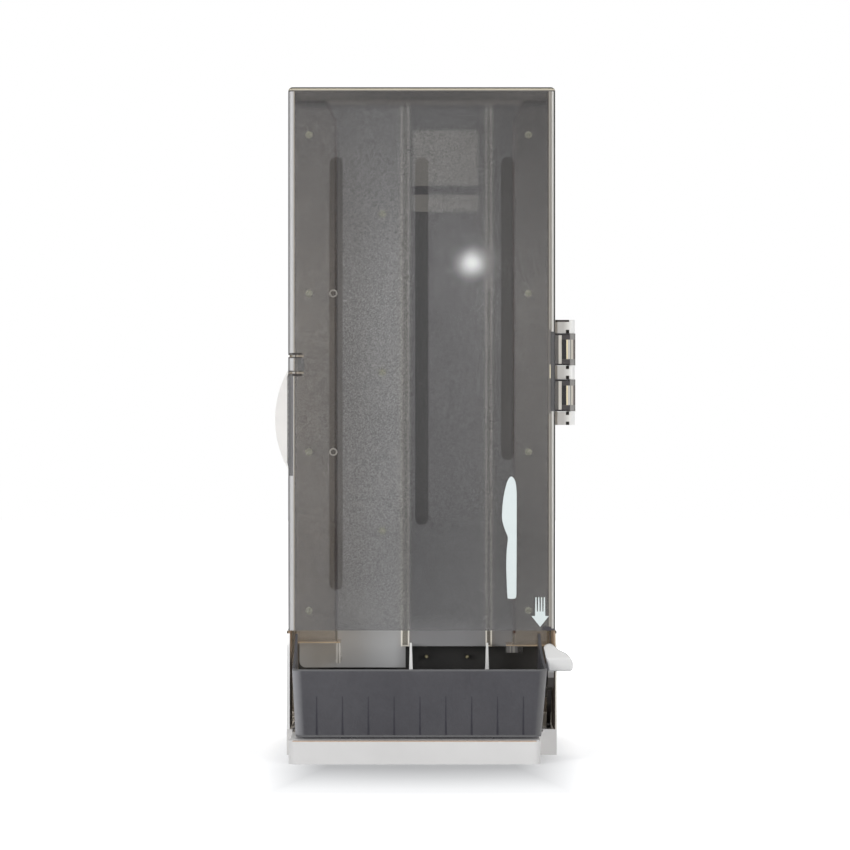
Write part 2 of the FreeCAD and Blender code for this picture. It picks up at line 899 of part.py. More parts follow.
def make_left_guide():
    """Left shoulder with a narrow, round-footed ledge under its inner edge."""
    guide = make_guide("left_guide", -1, s.left_guide_edge, s.left_guide_bottom, s.left_boss)
    ledge_in = -(s.left_guide_edge + s.ledge_inset)
    ledge = rectangle(ledge_in, ledge_in + s.left_ledge_width,
                      s.left_ledge_bottom, s.left_guide_bottom + 1)
    pad(guide, "Y", guide_face + s.ledge_front, chute_face, ledge)
    pad(guide, "Y", guide_face + s.ledge_front, chute_face,
        circle(ledge_in + s.left_ledge_width / 2, s.left_ledge_bottom, s.ledge_boss))
    drill_guide(guide, -s.left_boss)
    return guide


def make_right_guide():
    """Right shoulder with a short ledge under its inner edge and three cross ribs inside."""
    guide = make_guide("right_guide", 1, s.right_guide_edge, s.right_guide_bottom, s.right_boss)
    ledge = rectangle(s.right_ledge_edge, s.right_ledge_end,
                      s.right_ledge_bottom, s.right_guide_bottom + 1)
    pad(guide, "Y", guide_face + s.ledge_front, chute_face, ledge)
    in_wall = s.guide_wall / 2
    bottoms = [s.cross_rib_low + s.cross_rib_step * i for i in range(3)]
    ribs = [
        rectangle(s.right_guide_edge + in_wall, guide_outside - in_wall,
                  bottom, bottom + s.cross_rib_thick)
        for bottom in bottoms
    ]
    pad(guide, "Y", guide_face + in_wall, guide_face + s.cross_rib_depth, *ribs)
    drill_guide(guide, s.right_boss)
    return guide


def make_guide_screws():
    """Screws from the front of the guides into the chute back."""
    reach = chute_face - guide_face + s.chute_thick
    spots = [(x, z) for x in (-s.left_boss, s.right_boss) for z in boss_heights()]
    screws = [
        screw(f"guide_screw_{i}", (x, guide_face, z), "Y", reach)
        for i, (x, z) in enumerate(spots, 1)
    ]
    return group("guide_screws", screws)


# ---------------------------------------------------------------- chute back
def back_screw_heights():
    return [s.back_screw_low + s.back_screw_step * i for i in range(3)]


def make_chute_back():
    """Wall behind the knives, with a tongue that reaches lower at the left."""
    chute = new_body("chute_back")
    face = outline([
        (-s.tongue_left, s.chute_tongue_bottom), (-s.tongue_right, s.chute_tongue_bottom),
        (-s.tongue_right, s.chute_bottom), (s.tongue_left, s.chute_bottom),
        (s.tongue_left, s.chute_shoulder), (shell_inside, s.chute_shoulder),
        (shell_inside, guide_top), (-shell_inside, guide_top),
        (-shell_inside, s.chute_shoulder), (-s.tongue_left, s.chute_shoulder),
    ])
    pad(chute, "Y", chute_face, chute_rear, face)
    fillet(chute, edges(chute, "Y", X=-s.tongue_left, Z=s.chute_tongue_bottom), s.chute_corner)
    for side in (-1, 1):
        flange = rectangle(shell_inside * side, (shell_inside - s.chute_thick) * side,
                           chute_face, chute_rear + s.chute_flange)
        pad(chute, "Z", s.chute_shoulder, guide_top, flange)
    bosses = [circle(-s.back_screw_side, z, s.boss_radius) for z in back_screw_heights()]
    pad(chute, "Y", chute_face + s.chute_thick / 2, chute_rear + s.screw_reach, *bosses)
    holes = [screw_hole(x, z) for x in (-s.left_boss, s.right_boss) for z in boss_heights()]
    holes += [screw_hole(-s.back_screw_side, z) for z in back_screw_heights()]
    pocket(chute, "Y", chute_face - 1, chute_rear + s.screw_reach + 1, *holes)
    return chute


def make_back_screws():
    """Screws in the face of the chute back."""
    screws = [
        screw(f"back_screw_{i}", (-s.back_screw_side, chute_face, z), "Y", s.screw_reach)
        for i, z in enumerate(back_screw_heights(), 1)
    ]
    return group("back_screws", screws)


def make_rib(label, middle, width):
    """Clear upright channel on the chute back, whose two lips keep the knives off it."""
    rib = new_body(label)
    proud, web = chute_face - s.rib_proud, chute_face - s.rib_web
    left, right = middle - width / 2, middle + width / 2
    pad(rib, "Z", s.chute_bottom, guide_top, outline([
        (left, chute_face), (left, proud), (left + s.rib_lip, proud), (left + s.rib_lip, web),
        (right - s.rib_lip, web), (right - s.rib_lip, proud), (right, proud), (right, chute_face),
    ]))
    return rib


def make_label():
    """Bare sticker on the chute back."""
    label = new_body("instruction_label")
    top = s.body_height - s.label_drop
    pad(label, "Y", chute_face, chute_face - s.label_thick,
        rounded(s.label_middle - s.label_width / 2, s.label_middle + s.label_width / 2,
                top - s.label_height, top, s.label_corner))
    return label


def make_keeper():
    """Block on the left guide that the door's tongue snaps over."""
    keeper = new_body("latch_keeper")
    low = s.tongue_middle - s.keeper_height / 2
    pad(keeper, "Y", guide_face, guide_face - s.keeper_depth,
        rectangle(-s.keeper_side, -(s.keeper_side - s.keeper_width), low, low + s.keeper_height))
    fillet(keeper, edges(keeper, "Z", Y=guide_face - s.keeper_depth), s.keeper_width / 4)
    return keeper


# ---------------------------------------------------------------- tray
def flat_face(body, axis, sense):
    """Name of the body's flat face that looks most in one direction and lies furthest out."""
    aim = Vector(*(sense if axis == other else 0 for other in "XYZ"))
    facing = [
        (round(face.normalAt(0, 0).dot(aim), 1), face.CenterOfMass.dot(aim), number)
        for number, face in enumerate(body.Tip.Shape.Faces, 1)
        if face.Surface.TypeId == "Part::GeomPlane"
    ]
    return f"Face{max(facing)[2]}"


def lean_wall(body, axis, sense, shift, height):
    """Draft one wall of a body, so that its foot stands inwards by a shift at a depth."""
    wall, top = flat_face(body, axis, sense), flat_face(body, "Z", 1)
    straight = body.Tip
    feature = body.newObject("PartDesign::Draft", f"{body.Name}_draft")
    feature.Base = (straight, [wall])
    feature.NeutralPlane = (straight, [top])
    feature.Reversed = True
    feature.setExpression("Angle", f"atan({(shift / height).formula})")
    check(feature)
    if feature.Shape.Volume > straight.Shape.Volume:
        raise RuntimeError(f"{feature.Label} leans the wrong way")


def tub(body, wall, top):
    """Fill a body with the tray's tapered form, drawn in by a wall, up to a top."""
    left, right = -(s.tray_left - wall), s.tray_right - wall
    near, far = tray_front + wall, tray_back - wall
    rim = outline([(left, near), (right, near), (right - s.tray_draw, far), (left, far)])
    height = s.tray_rim - tray_floor
    pad(body, "Z", tray_floor + wall, s.tray_rim, rim)
    lean_wall(body, "Y", -1, s.tray_lean, height)
    lean_wall(body, "X", -1, s.tray_taper_left, height)
    lean_wall(body, "X", 1, s.tray_taper_right, height)
    climbing = [
        f"Edge{i}" for i, edge in enumerate(body.Tip.Shape.Edges, 1) if edge.BoundBox.ZLength > 1
    ]
    fillet(body, climbing, s.tray_corner - wall)
    mouth = flat_face(body, "Z", 1)
    wings = body.newObject("PartDesign::Pad", f"{body.Name}_wings")
    wings.Profile = (wings.BaseFeature, [mouth])
    bind(wings, "Length", as_size(top) - s.tray_rim)
    check(wings)


def make_tray():
    """Pick-up tray with leaning walls, curved wings at its sides and ribs inside."""
    tray = new_body("tray")
    tub(tray, as_size(0), s.wing_top)
    room = doc.addObject("PartDesign::Body", "tray_room")
    tub(room, s.tray_wall, s.wing_top + 1)
    hollow = tray.newObject("PartDesign::Boolean", "tray_hollow")
    hollow.Type = "Cut"
    hollow.setObjects([room])
    check(hollow)
    curve_start = tray_front + s.tray_corner + s.wing_start
    curve_end = tray_back - s.tray_corner
    above = outline([
        (tray_front - 1, s.tray_rim), (curve_start, s.tray_rim), (curve_end, s.wing_top),
        (curve_end, s.tray_back_top), (tray_back + 1, s.tray_back_top),
        (tray_back + 1, s.wing_top + 1), (tray_front - 1, s.wing_top + 1),
    ], {1: (s.wing_curve, "left")})
    pocket(tray, "X", -(s.tray_left + 1), s.tray_right + 1, above)
    add_tray_ribs(tray)
    runners = [
        rectangle(middle - s.runner_width / 2, middle + s.runner_width / 2,
                  tray_front + s.tray_lean + s.tray_corner, tray_back - s.tray_corner)
        for middle in (-s.runner_side, s.runner_side)
    ]
    pad(tray, "Z", s.lip_height, tray_floor + s.tray_wall / 2, *runners)
    return tray


def add_tray_ribs(tray):
    """Thin ribs down the front wall and along the floor, which keep knives easy to lift."""
    slope = s.tray_lean / (s.tray_rim - tray_floor)
    in_wall = s.tray_wall / 2
    foot_y = tray_front + s.tray_lean + in_wall
    top_y = foot_y - slope * (s.tray_rib_top - tray_floor)
    proud = s.tray_wall / 2 + s.tray_rib_proud
    floor = tray_floor + s.tray_wall
    rib = outline([
        (foot_y, tray_floor + in_wall), (tray_back - in_wall, tray_floor + in_wall),
        (tray_back - in_wall, floor + s.tray_rib_proud),
        (foot_y + proud + s.tray_rib_run, floor + s.tray_rib_proud),
        (foot_y + proud, floor + s.tray_rib_proud + s.tray_rib_rise),
        (top_y + proud, s.tray_rib_top - s.tray_rib_proud), (top_y, s.tray_rib_top),
    ])
    start = -s.tray_rib_start
    first = pad(tray, "X", start, start + s.tray_rib_thick, rib)
    row = tray.newObject("PartDesign::LinearPattern", "tray_rib_row")
    row.Originals = [first]
    row.Direction = (origin_item(tray, "X_Axis"), [""])
    bind(row, "Length", s.tray_rib_step * (s.tray_rib_count - 1))
    bind(row, "Occurrences", s.tray_rib_count)
    tray.Tip = row
    check(row)


# ---------------------------------------------------------------- mechanism
def make_mechanism_frame():
    """Dark frame on the base's floor: a back wall, a foot and two bearing posts."""
    frame = new_body("mechanism_frame")
    wall_front = shaft_y + s.frame_back
    wall_back = wall_front + s.frame_wall
    pad(frame, "Y", wall_front, wall_back,
        rectangle(-s.frame_left, s.frame_right, s.base_floor, s.frame_top))
    post_front = shaft_y - s.post_front
    pad(frame, "Z", s.base_floor, s.base_floor + s.frame_flange,
        rectangle(-s.frame_left, s.frame_right, post_front, wall_front + s.frame_wall / 2))
    for middle in (-s.post_left, s.post_right):
        post = rectangle(post_front, wall_front + s.frame_wall / 2,
                         s.base_floor, shaft_z + s.post_top)
        start = middle - s.post_thick / 2
        pad(frame, "X", start, start + s.post_thick, post)
    pocket(frame, "X", -(s.post_left + s.post_thick), s.post_right + s.post_thick,
           circle(shaft_y, shaft_z, s.bush_radius + s.fixed_play))
    studs = [
        ring(x, s.stud_height, s.stud_sides, s.stud_radius + s.fixed_play)
        for x in (s.stud_left, s.stud_right)
    ]
    pocket(frame, "Y", wall_front - 1, wall_back + 1, *studs)
    return frame


def make_frame_studs():
    """Light pins that stand out of the frame's back wall."""
    wall_front = shaft_y + s.frame_back
    spots = [(x, wall_front + s.frame_wall, s.stud_height) for x in (s.stud_left, s.stud_right)]
    studs = [
        prism(f"frame_stud_{i}", spot, "-Y", s.stud_sides, s.stud_radius, s.frame_wall * 3)
        for i, spot in enumerate(spots, 1)
    ]
    return group("frame_studs", studs)


def make_shaft():
    """Steel shaft through the posts, the fingers and the lever."""
    length = lever_outside + s.shaft_left
    shaft = cylinder("shaft", (-s.shaft_left, shaft_y, shaft_z), "X", s.shaft_radius, length)
    shaft.Label = "shaft"
    PARTS.append(check(shaft))
    return shaft


def make_bushings():
    """Flanged plastic bushings in the two posts."""
    bushings = []
    for i, (middle, step) in enumerate(((-s.post_left, -1), (s.post_right, 1)), 1):
        face = middle + s.post_thick / 2 * step
        direction = "X" if step < 0 else "-X"
        collar_start = face + s.bush_flange_thick * step
        sleeve = cylinder(f"bush_{i}_sleeve", (face, shaft_y, shaft_z), direction,
                          s.bush_radius, s.post_thick)
        collar = cylinder(f"bush_{i}_collar", (collar_start, shaft_y, shaft_z), direction,
                          s.bush_flange, s.bush_flange_thick)
        bore = cylinder(f"bush_{i}_bore", (collar_start, shaft_y, shaft_z), direction,
                        s.shaft_radius + s.bore_play, s.bush_flange_thick + s.post_thick)
        whole = fuse(f"bush_{i}_whole", [sleeve, collar])
        bushings.append(cut(f"bushing_{i}", whole, bore))
    return group("shaft_bushings", bushings)


def make_finger(label, middle):
    """White kicker that stands on the shaft behind the lowest knife."""
    finger = new_body(label)
    half, tip_half = s.finger_thick / 2, s.finger_tip_thick / 2
    tip_front = shaft_y - s.finger_lead
    blade = outline([
        (shaft_y - s.finger_hub, shaft_z), (shaft_y + s.finger_hub, shaft_z),
        (tip_front + s.finger_tip, s.finger_top), (tip_front, s.finger_top),
    ])
    pad(finger, "X", middle - half, middle + half, circle(shaft_y, shaft_z, s.finger_hub))
    pad(finger, "X", middle - half, middle + half, blade)
    shoulder = shaft_z + s.finger_hub + s.finger_shoulder
    for side in (-1, 1):
        wedge = outline([
            (middle + (half + 1) * side, shoulder), (middle + half * side, shoulder),
            (middle + tip_half * side, s.finger_top + 1), (middle + (half + 1) * side, s.finger_top + 1),
        ])
        pocket(finger, "Y", tip_front - 1, shaft_y + s.finger_hub + 1, wedge)
    pocket(finger, "X", middle - half - 1, middle + half + 1,
           circle(shaft_y, shaft_z, s.shaft_radius + s.fixed_play))
    pocket(finger, "Z", shaft_z - s.finger_hub - 1, shaft_z, pin_hole(middle))
    return finger


def pin_hole(middle):
    """Square hole for a set pin, seen from below."""
    half = s.set_pin_side / 2 + s.fixed_play
    return rectangle(middle - half, middle + half, shaft_y - half, shaft_y + half)


def make_set_pins():
    """Square set pins that lock the fingers and the lever on the shaft."""
    spots = [(-s.finger_left, s.finger_hub), (s.finger_right, s.finger_hub),
             (s.arm_inner + s.arm_thick / 2, s.hub_radius)]
    pins = [
        block(f"set_pin_{i}", (x - s.set_pin_side / 2, shaft_y - s.set_pin_side / 2,
                               shaft_z - radius),
              (s.set_pin_side, s.set_pin_side, radius - s.shaft_radius - s.fixed_play))
        for i, (x, radius) in enumerate(spots, 1)
    ]
    return group("set_pins", pins)


def make_lever():
    """White lever: a pad with a sloping thumb rest before the right cheek, on an arm behind it."""
    lever = new_body("lever")
    pad_front = front + s.pad_front
    pad_back = pad_front + s.pad_depth
    arm = outline([
        (shaft_y, shaft_z - s.arm_half), (shaft_y + s.arm_half, shaft_z),
        (shaft_y, shaft_z + s.arm_half), (pad_back + s.arm_lap, s.pad_saddle - s.arm_shoulder),
        (pad_front + s.arm_lap, s.pad_saddle - s.arm_shoulder),
        (pad_front + s.arm_lap, s.pad_bottom + s.arm_lap),
        (pad_front + s.arm_nose, s.arm_low), (pad_back, s.arm_heel),
    ])
    pad(lever, "X", lever_inside, lever_outside, circle(shaft_y, shaft_z, s.hub_radius))
    pad(lever, "X", lever_inside, lever_outside, arm)
    face = outline([
        (s.pad_left + s.pad_heel, s.pad_bottom), (s.pad_right - s.pad_corner, s.pad_bottom),
        (s.pad_right, s.pad_bottom + s.pad_corner), (s.pad_right, s.pad_saddle - s.pad_tip_drop),
        (s.pad_right - s.pad_tip_run, s.pad_saddle), (s.pad_left + s.pad_lobe, s.pad_top),
        (s.pad_left, s.pad_top - s.pad_lobe_drop),
    ], {1: (s.pad_corner, "left"), 3: (s.pad_tip_radius, "left"), 4: (s.pad_sweep, "right"),
        5: (s.pad_lobe_radius, "left")})
    pad(lever, "Y", pad_front, pad_back, face)
    over_rest = outline([
        (pad_front, s.pad_lip), (pad_back - s.pad_brim, s.pad_top), (pad_back, s.pad_top + 1),
        (pad_front - 1, s.pad_top + 1), (pad_front - 1, s.pad_lip),
    ])
    pocket(lever, "X", s.pad_left - 1, s.pad_right + 1, over_rest)
    fillet(lever, edges(lever, Y=pad_front), s.pad_edge)
    pocket(lever, "X", lever_inside - 1, lever_outside + 1,
           circle(shaft_y, shaft_z, s.shaft_radius + s.fixed_play))
    pocket(lever, "Z", shaft_z - s.hub_radius - 1, shaft_z, pin_hole(s.arm_inner + s.arm_thick / 2))
    return lever


def arm_underside(y):
    """Height of the lever arm's underside at a distance behind the pad."""
    pad_back = front + s.pad_front + s.pad_depth
    low, high = s.arm_heel, shaft_z - s.arm_half
    return low + (high - low) * (y - pad_back) / (shaft_y - pad_back)


def make_return_spring():
    """Folded steel strip that stands on the base and pushes the lever's arm up."""
    spring = new_body("return_spring")
    fold, tip = front + s.spring_back, front + s.spring_back - s.spring_run
    foot, crown = s.base_height, arm_underside(tip) - s.spring_play
    inner_foot = foot + s.strip_thick
    inner_fold = fold - s.strip_slant - s.spring_run * s.strip_thick / (crown - foot)
    strip = outline([
        (tip, foot), (fold, foot), (tip, crown), (tip - s.strip_slant, crown),
        (inner_fold, inner_foot), (tip, inner_foot),
    ])
    start = s.arm_inner + (s.arm_thick - s.spring_width) / 2
    pad(spring, "X", start, start + s.spring_width, strip)
    fillet(spring, edges(spring, "X", Y=inner_fold, Z=inner_foot), s.fold_radius - s.strip_thick)
    fillet(spring, edges(spring, "X", Y=fold, Z=foot), s.fold_radius)
    return spring


# ---------------------------------------------------------------- build and export
make_base()
make_foot_pads()
make_housing()
make_back_plate()
make_hinge_bracket()
make_hinge_pin()
make_hinge_screws()
make_door()
make_left_guide()
make_right_guide()
make_guide_screws()
make_chute_back()
make_back_screws()
make_rib("left_rib", -s.left_rib_middle, s.left_rib_width)
make_rib("right_rib", s.right_rib_middle, s.right_rib_width)
make_label()
make_keeper()
make_tray()
make_mechanism_frame()
make_frame_studs()
make_shaft()
make_bushings()
make_finger("left_finger", -s.finger_left)
make_finger("right_finger", s.finger_right)
make_set_pins()
make_lever()
make_return_spring()

doc.recompute()
os.makedirs("parts", exist_ok=True)
for thing in doc.Objects:
    if {"Invalid", "Error"} & set(thing.State):
        raise RuntimeError(f"{thing.Label} can't be built: {thing.State}")
for part in PARTS:
    check(part)
    part.Shape.exportStep(f"parts/{part.Label}.step")
    print(part.Label, len(part.Shape.Solids), round(part.Shape.Volume / 1000, 2), "cm3")
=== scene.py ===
import math

import bmesh
import bpy
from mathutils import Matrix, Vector


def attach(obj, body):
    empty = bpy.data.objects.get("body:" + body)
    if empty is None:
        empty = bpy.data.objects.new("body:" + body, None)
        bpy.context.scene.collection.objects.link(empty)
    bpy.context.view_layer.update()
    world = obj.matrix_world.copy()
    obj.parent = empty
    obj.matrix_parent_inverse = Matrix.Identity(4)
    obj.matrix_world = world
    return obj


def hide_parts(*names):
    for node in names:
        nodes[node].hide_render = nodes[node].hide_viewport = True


# Lengths are in metres.  +X is to the right, +Y goes to the wall, +Z is up.
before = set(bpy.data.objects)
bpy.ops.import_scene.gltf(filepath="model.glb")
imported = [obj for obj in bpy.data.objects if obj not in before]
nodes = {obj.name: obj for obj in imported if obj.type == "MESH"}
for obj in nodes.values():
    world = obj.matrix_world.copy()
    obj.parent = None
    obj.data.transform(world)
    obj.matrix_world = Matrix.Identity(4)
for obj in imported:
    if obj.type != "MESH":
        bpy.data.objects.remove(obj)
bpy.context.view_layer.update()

DOOR_FRONT = -0.041025
DOOR_SIDE = 0.1258
DOOR_TOP = 0.62865
WINDOWS = ((-0.0807, 0.155), (0.0, 0.21615), (0.0807, 0.2773))
WINDOW_TOP = 0.5623
WINDOW_RADIUS = 0.00625
GUIDE_FACE = -0.023125
GUIDE_TOP = 0.6177
CHAMFER_FOOT = GUIDE_TOP - 0.020
CHAMFER_NORMAL = (0.894, 0.447)  # the chamfer rises two for each one outwards
CHUTE_FACE = 0.009075
LEFT_GUIDE_EDGE = 0.0802
RIGHT_GUIDE_EDGE = 0.0864
BOSS_HEIGHTS = [0.1345 + 0.1502 * i for i in range(4)]
LEFT_RIB = (-0.0160, 0.0080)  # middle and width
RIGHT_RIB = (0.0642, 0.0061)
# spans where the chute's painted shade sets in past the left rib and changes past the right rib
LEFT_RIB_PAINTED_SHADE = (-0.0165, -0.0120)
RIGHT_RIB_PAINTED_SHADE = (0.0610, 0.0665)
GRIP_SPAN = (0.2625, 0.3615)
SLIT_SPANS = ((0.3563, 0.3612), (0.3732, 0.3781))
HINGE_SPAN = (0.3232, 0.3982)
KNUCKLE_BOTTOMS = (0.3234, 0.3674)
KNUCKLE_HEIGHT = 0.0306
NOTCHES = ((0.3102, 0.3136), (0.3198, 0.3232), (0.3542, 0.3576), (0.3638, 0.3672), (0.3982, 0.4016))
NOTCH_DEPTHS = (0.0047, 0.0072)
HOUSING_SIDE = 0.1270
ROOF_FOOT = 0.6215
CHEEK_TOP = 0.1165
TRAY_TOP = 0.0863
FIRST_TRAY_RIB = -0.0963
TRAY_RIB_PITCH = 0.0237
STUD_MIDDLES = (0.0047, 0.0437)
STUD_HEIGHT = 0.0867
SIGN_THICKNESS = 0.00008
PLASTIC_IOR = 1.46
RIM_GLOSS = 0.22
KNUCKLE_GLOSS = 0.16

# Painted light and shade in strips along the door's rounded edges (painted highlights, painted shade and dark
# painted outlines): from, to, colour and how much of it is clear.
SIDE_PAINTED_LIGHT = (
    (-0.1270, -0.1246, (0.020, 0.019, 0.018), 0.0),  # painted dark outline, left
    (-0.1246, -0.1206, (0.51, 0.505, 0.51), 0.25),  # painted highlight on the left rounded edge
    (-0.1206, -0.1197, (0.40, 0.36, 0.30), 0.40),  # painted warm highlight inside it
    (0.1186, 0.1195, (0.13, 0.115, 0.095), 0.60),  # shade inside the right wall
    (0.1195, 0.1214, (0.34, 0.32, 0.29), 0.35),  # painted light on the right wall, seen end on
    (0.1214, 0.1222, (0.17, 0.15, 0.12), 0.40),  # shade beside the rounded edge
    (0.1222, 0.1244, (0.56, 0.55, 0.52), 0.25),  # painted highlight on the right rounded edge
    (0.1244, 0.1270, (0.025, 0.022, 0.020), 0.0),  # painted dark outline, right
)
TOP_PAINTED_LIGHT = (
    (0.6241, 0.6250, (0.10, 0.095, 0.09), 0.30),  # shade under the edge
    (0.6250, 0.6259, (0.32, 0.29, 0.24), 0.30),  # painted light on the top wall, seen end on
    (0.6259, 0.6270, (0.60, 0.545, 0.41), 0.20),  # painted warm highlight on the rounded edge
    (0.6270, 0.6300, (0.008, 0.008, 0.008), 0.0),  # painted dark outline
)

# Painted light and shade across the door's hinge knuckles, in stripes: from, to and colour.
KNUCKLE_PAINTED_LIGHT = (
    (0.1250, 0.1310, (0.14, 0.135, 0.13)),  # arm
    (0.1310, 0.1340, (0.68, 0.66, 0.62)),  # painted highlight on the arm's edge
    (0.1340, 0.1385, (0.025, 0.024, 0.028)),  # painted shade at the root of the barrel
    (0.1385, 0.1400, (1.0, 0.88, 0.62)),  # painted warm highlight beside the pin
    (0.1400, 0.1420, (0.66, 0.65, 0.63)),  # painted highlight on the barrel over the pin
    (0.1420, 0.1430, (0.28, 0.28, 0.25)),  # shade of the pin
    (0.1430, 0.1450, (0.55, 0.51, 0.44)),  # painted light on the barrel beside the pin
    (0.1450, 0.1480, (0.16, 0.14, 0.13)),  # painted shade on the rim of the barrel
)


# ---------------------------------------------------------------- node helpers
class Recipe:
    """The node tree of one finish, which ends in a principled shader."""

    def __init__(self, name, **sockets):
        self.material = bpy.data.materials.new(name)
        self.material.use_nodes = True
        self.tree = self.material.node_tree
        self.tree.nodes.clear()
        self.output = self.tree.nodes.new("ShaderNodeOutputMaterial")
        self.skin = self.node("ShaderNodeBsdfPrincipled")
        self.tree.links.new(self.skin.outputs[0], self.output.inputs["Surface"])
        self.place = self.node("ShaderNodeTexCoord").outputs["Object"]
        for socket, value in sockets.items():
            self.feed(self.skin, socket.replace("_", " "), value)

    def node(self, kind, **settings):
        item = self.tree.nodes.new(kind)
        for name, value in settings.items():
            setattr(item, name, value)
        return item

    def feed(self, item, socket, value):
        """Put a number or the output of another node into an input."""
        target = item.inputs[socket]
        if isinstance(value, bpy.types.NodeSocket):
            self.tree.links.new(value, target)
        elif isinstance(value, tuple) and target.type == "RGBA":
            target.default_value = (*value, 1.0)
        else:
            target.default_value = value

    def math(self, operation, *values):
        item = self.node("ShaderNodeMath", operation=operation)
        for index, value in enumerate(values):
            self.feed(item, index, value)
        return item.outputs[0]

    def vector(self, operation, *values):
        item = self.node("ShaderNodeVectorMath", operation=operation)
        for index, value in enumerate(values):
            self.feed(item, index, value)
        return item.outputs["Value" if operation == "LENGTH" else "Vector"]

    def axes(self):
        item = self.node("ShaderNodeSeparateXYZ")
        self.feed(item, 0, self.place)
        return item.outputs

    def noise(self, scale, detail=3.0, roughness=0.5, stretch=None):
        """Noise over the piece, whose scale is in cycles a metre."""
        where = self.place
        if stretch:
            where = self.vector("MULTIPLY", where, stretch)
        item = self.node("ShaderNodeTexNoise")
        self.feed(item, "Vector", where)
        self.feed(item, "Scale", scale)
        self.feed(item, "Detail", detail)
        self.feed(item, "Roughness", roughness)
        return item.outputs["Fac"]

    def spread(self, value, low, high, start=0.3, end=0.7):
        """A number from one range turned to another, and held at its ends."""
        item = self.node("ShaderNodeMapRange")
        for socket, number in (("Value", value), ("From Min", start), ("From Max", end),
                               ("To Min", low), ("To Max", high)):
            self.feed(item, socket, number)
        return item.outputs[0]

    def patches(self, scale, detail=3.0):
        """Noise that runs from nought to one."""
        return self.spread(self.noise(scale, detail), 0.0, 1.0)

    def blend(self, share, first, second):
        """A colour between two colours."""
        item = self.node("ShaderNodeMix", data_type="RGBA")
        self.feed(item, 0, share)
        self.feed(item, 6, first)
        self.feed(item, 7, second)
        return item.outputs[2]

    def above(self, value, limit):
        """One where a number is over a limit, and nought elsewhere."""
        return self.math("GREATER_THAN", value, limit)

    def below(self, value, limit):
        """One where a number is under a limit, and nought elsewhere."""
        return self.math("LESS_THAN", value, limit)

    def step_in(self, value, low, high):
        """One where a number lies between two others, and nought elsewhere."""
        return self.both(self.above(value, low), self.below(value, high))

    def both(self, *masks):
        """One where all of the masks are one."""
        whole = masks[0]
        for mask in masks[1:]:
            whole = self.math("MULTIPLY", whole, mask)
        return whole

    def either(self, *masks):
        """The largest of some masks."""
        whole = masks[0]
        for mask in masks[1:]:
            whole = self.math("MAXIMUM", whole, mask)
        return whole

    def number(self, share, first, second):
        """A number between two numbers."""
        return self.spread(share, first, second, 0.0, 1.0)

    def bump(self, height, strength, distance):
        item = self.node("ShaderNodeBump")
        self.feed(item, "Height", height)
        self.feed(item, "Strength", strength)
        self.feed(item, "Distance", distance)
        self.feed(self.skin, "Normal", item.outputs[0])

    def skin_colour(self, value):
        self.feed(self.skin, "Base Color", value)

    def skin_roughness(self, value):
        self.feed(self.skin, "Roughness", value)

    def skin_clearness(self, value):
        self.feed(self.skin, "Transmission Weight", value)

    def satin(self, rough, grain):
        """The skin of a moulding: an even roughness and a fine grain."""
        self.skin_roughness(self.spread(self.noise(90.0, 4.0), rough - 0.06, rough + 0.06))
        self.bump(self.noise(700.0, 4.0), grain, 0.0002)

    def let_lamps_through(self, tint):
        """Lamps shine through the plastic, a little dimmer at each of its faces."""
        clear = self.node("ShaderNodeBsdfTransparent")
        self.feed(clear, "Color", tint)
        mix = self.node("ShaderNodeMixShader")
        path = self.node("ShaderNodeLightPath")
        self.tree.links.new(path.outputs["Is Shadow Ray"], mix.inputs[0])
        self.tree.links.new(self.skin.outputs[0], mix.inputs[1])
        self.tree.links.new(clear.outputs[0], mix.inputs[2])
        self.tree.links.new(mix.outputs[0], self.output.inputs["Surface"])


def window_mask(recipe):
    """One inside the door's polished windows and nought outside them."""
    x, y, z = recipe.axes()
    masks = []
    for middle, bottom in WINDOWS:
        lifted = recipe.math("MAXIMUM", z, bottom + WINDOW_RADIUS)
        nearest = recipe.math("MINIMUM", lifted, WINDOW_TOP - WINDOW_RADIUS)
        away = recipe.node("ShaderNodeCombineXYZ")
        recipe.feed(away, 0, recipe.math("SUBTRACT", x, middle))
        recipe.feed(away, 2, recipe.math("SUBTRACT", z, nearest))
        distance = recipe.vector("LENGTH", away.outputs[0])
        masks.append(recipe.below(distance, WINDOW_RADIUS))
    return recipe.both(recipe.either(*masks), recipe.below(y, DOOR_FRONT + 0.004))


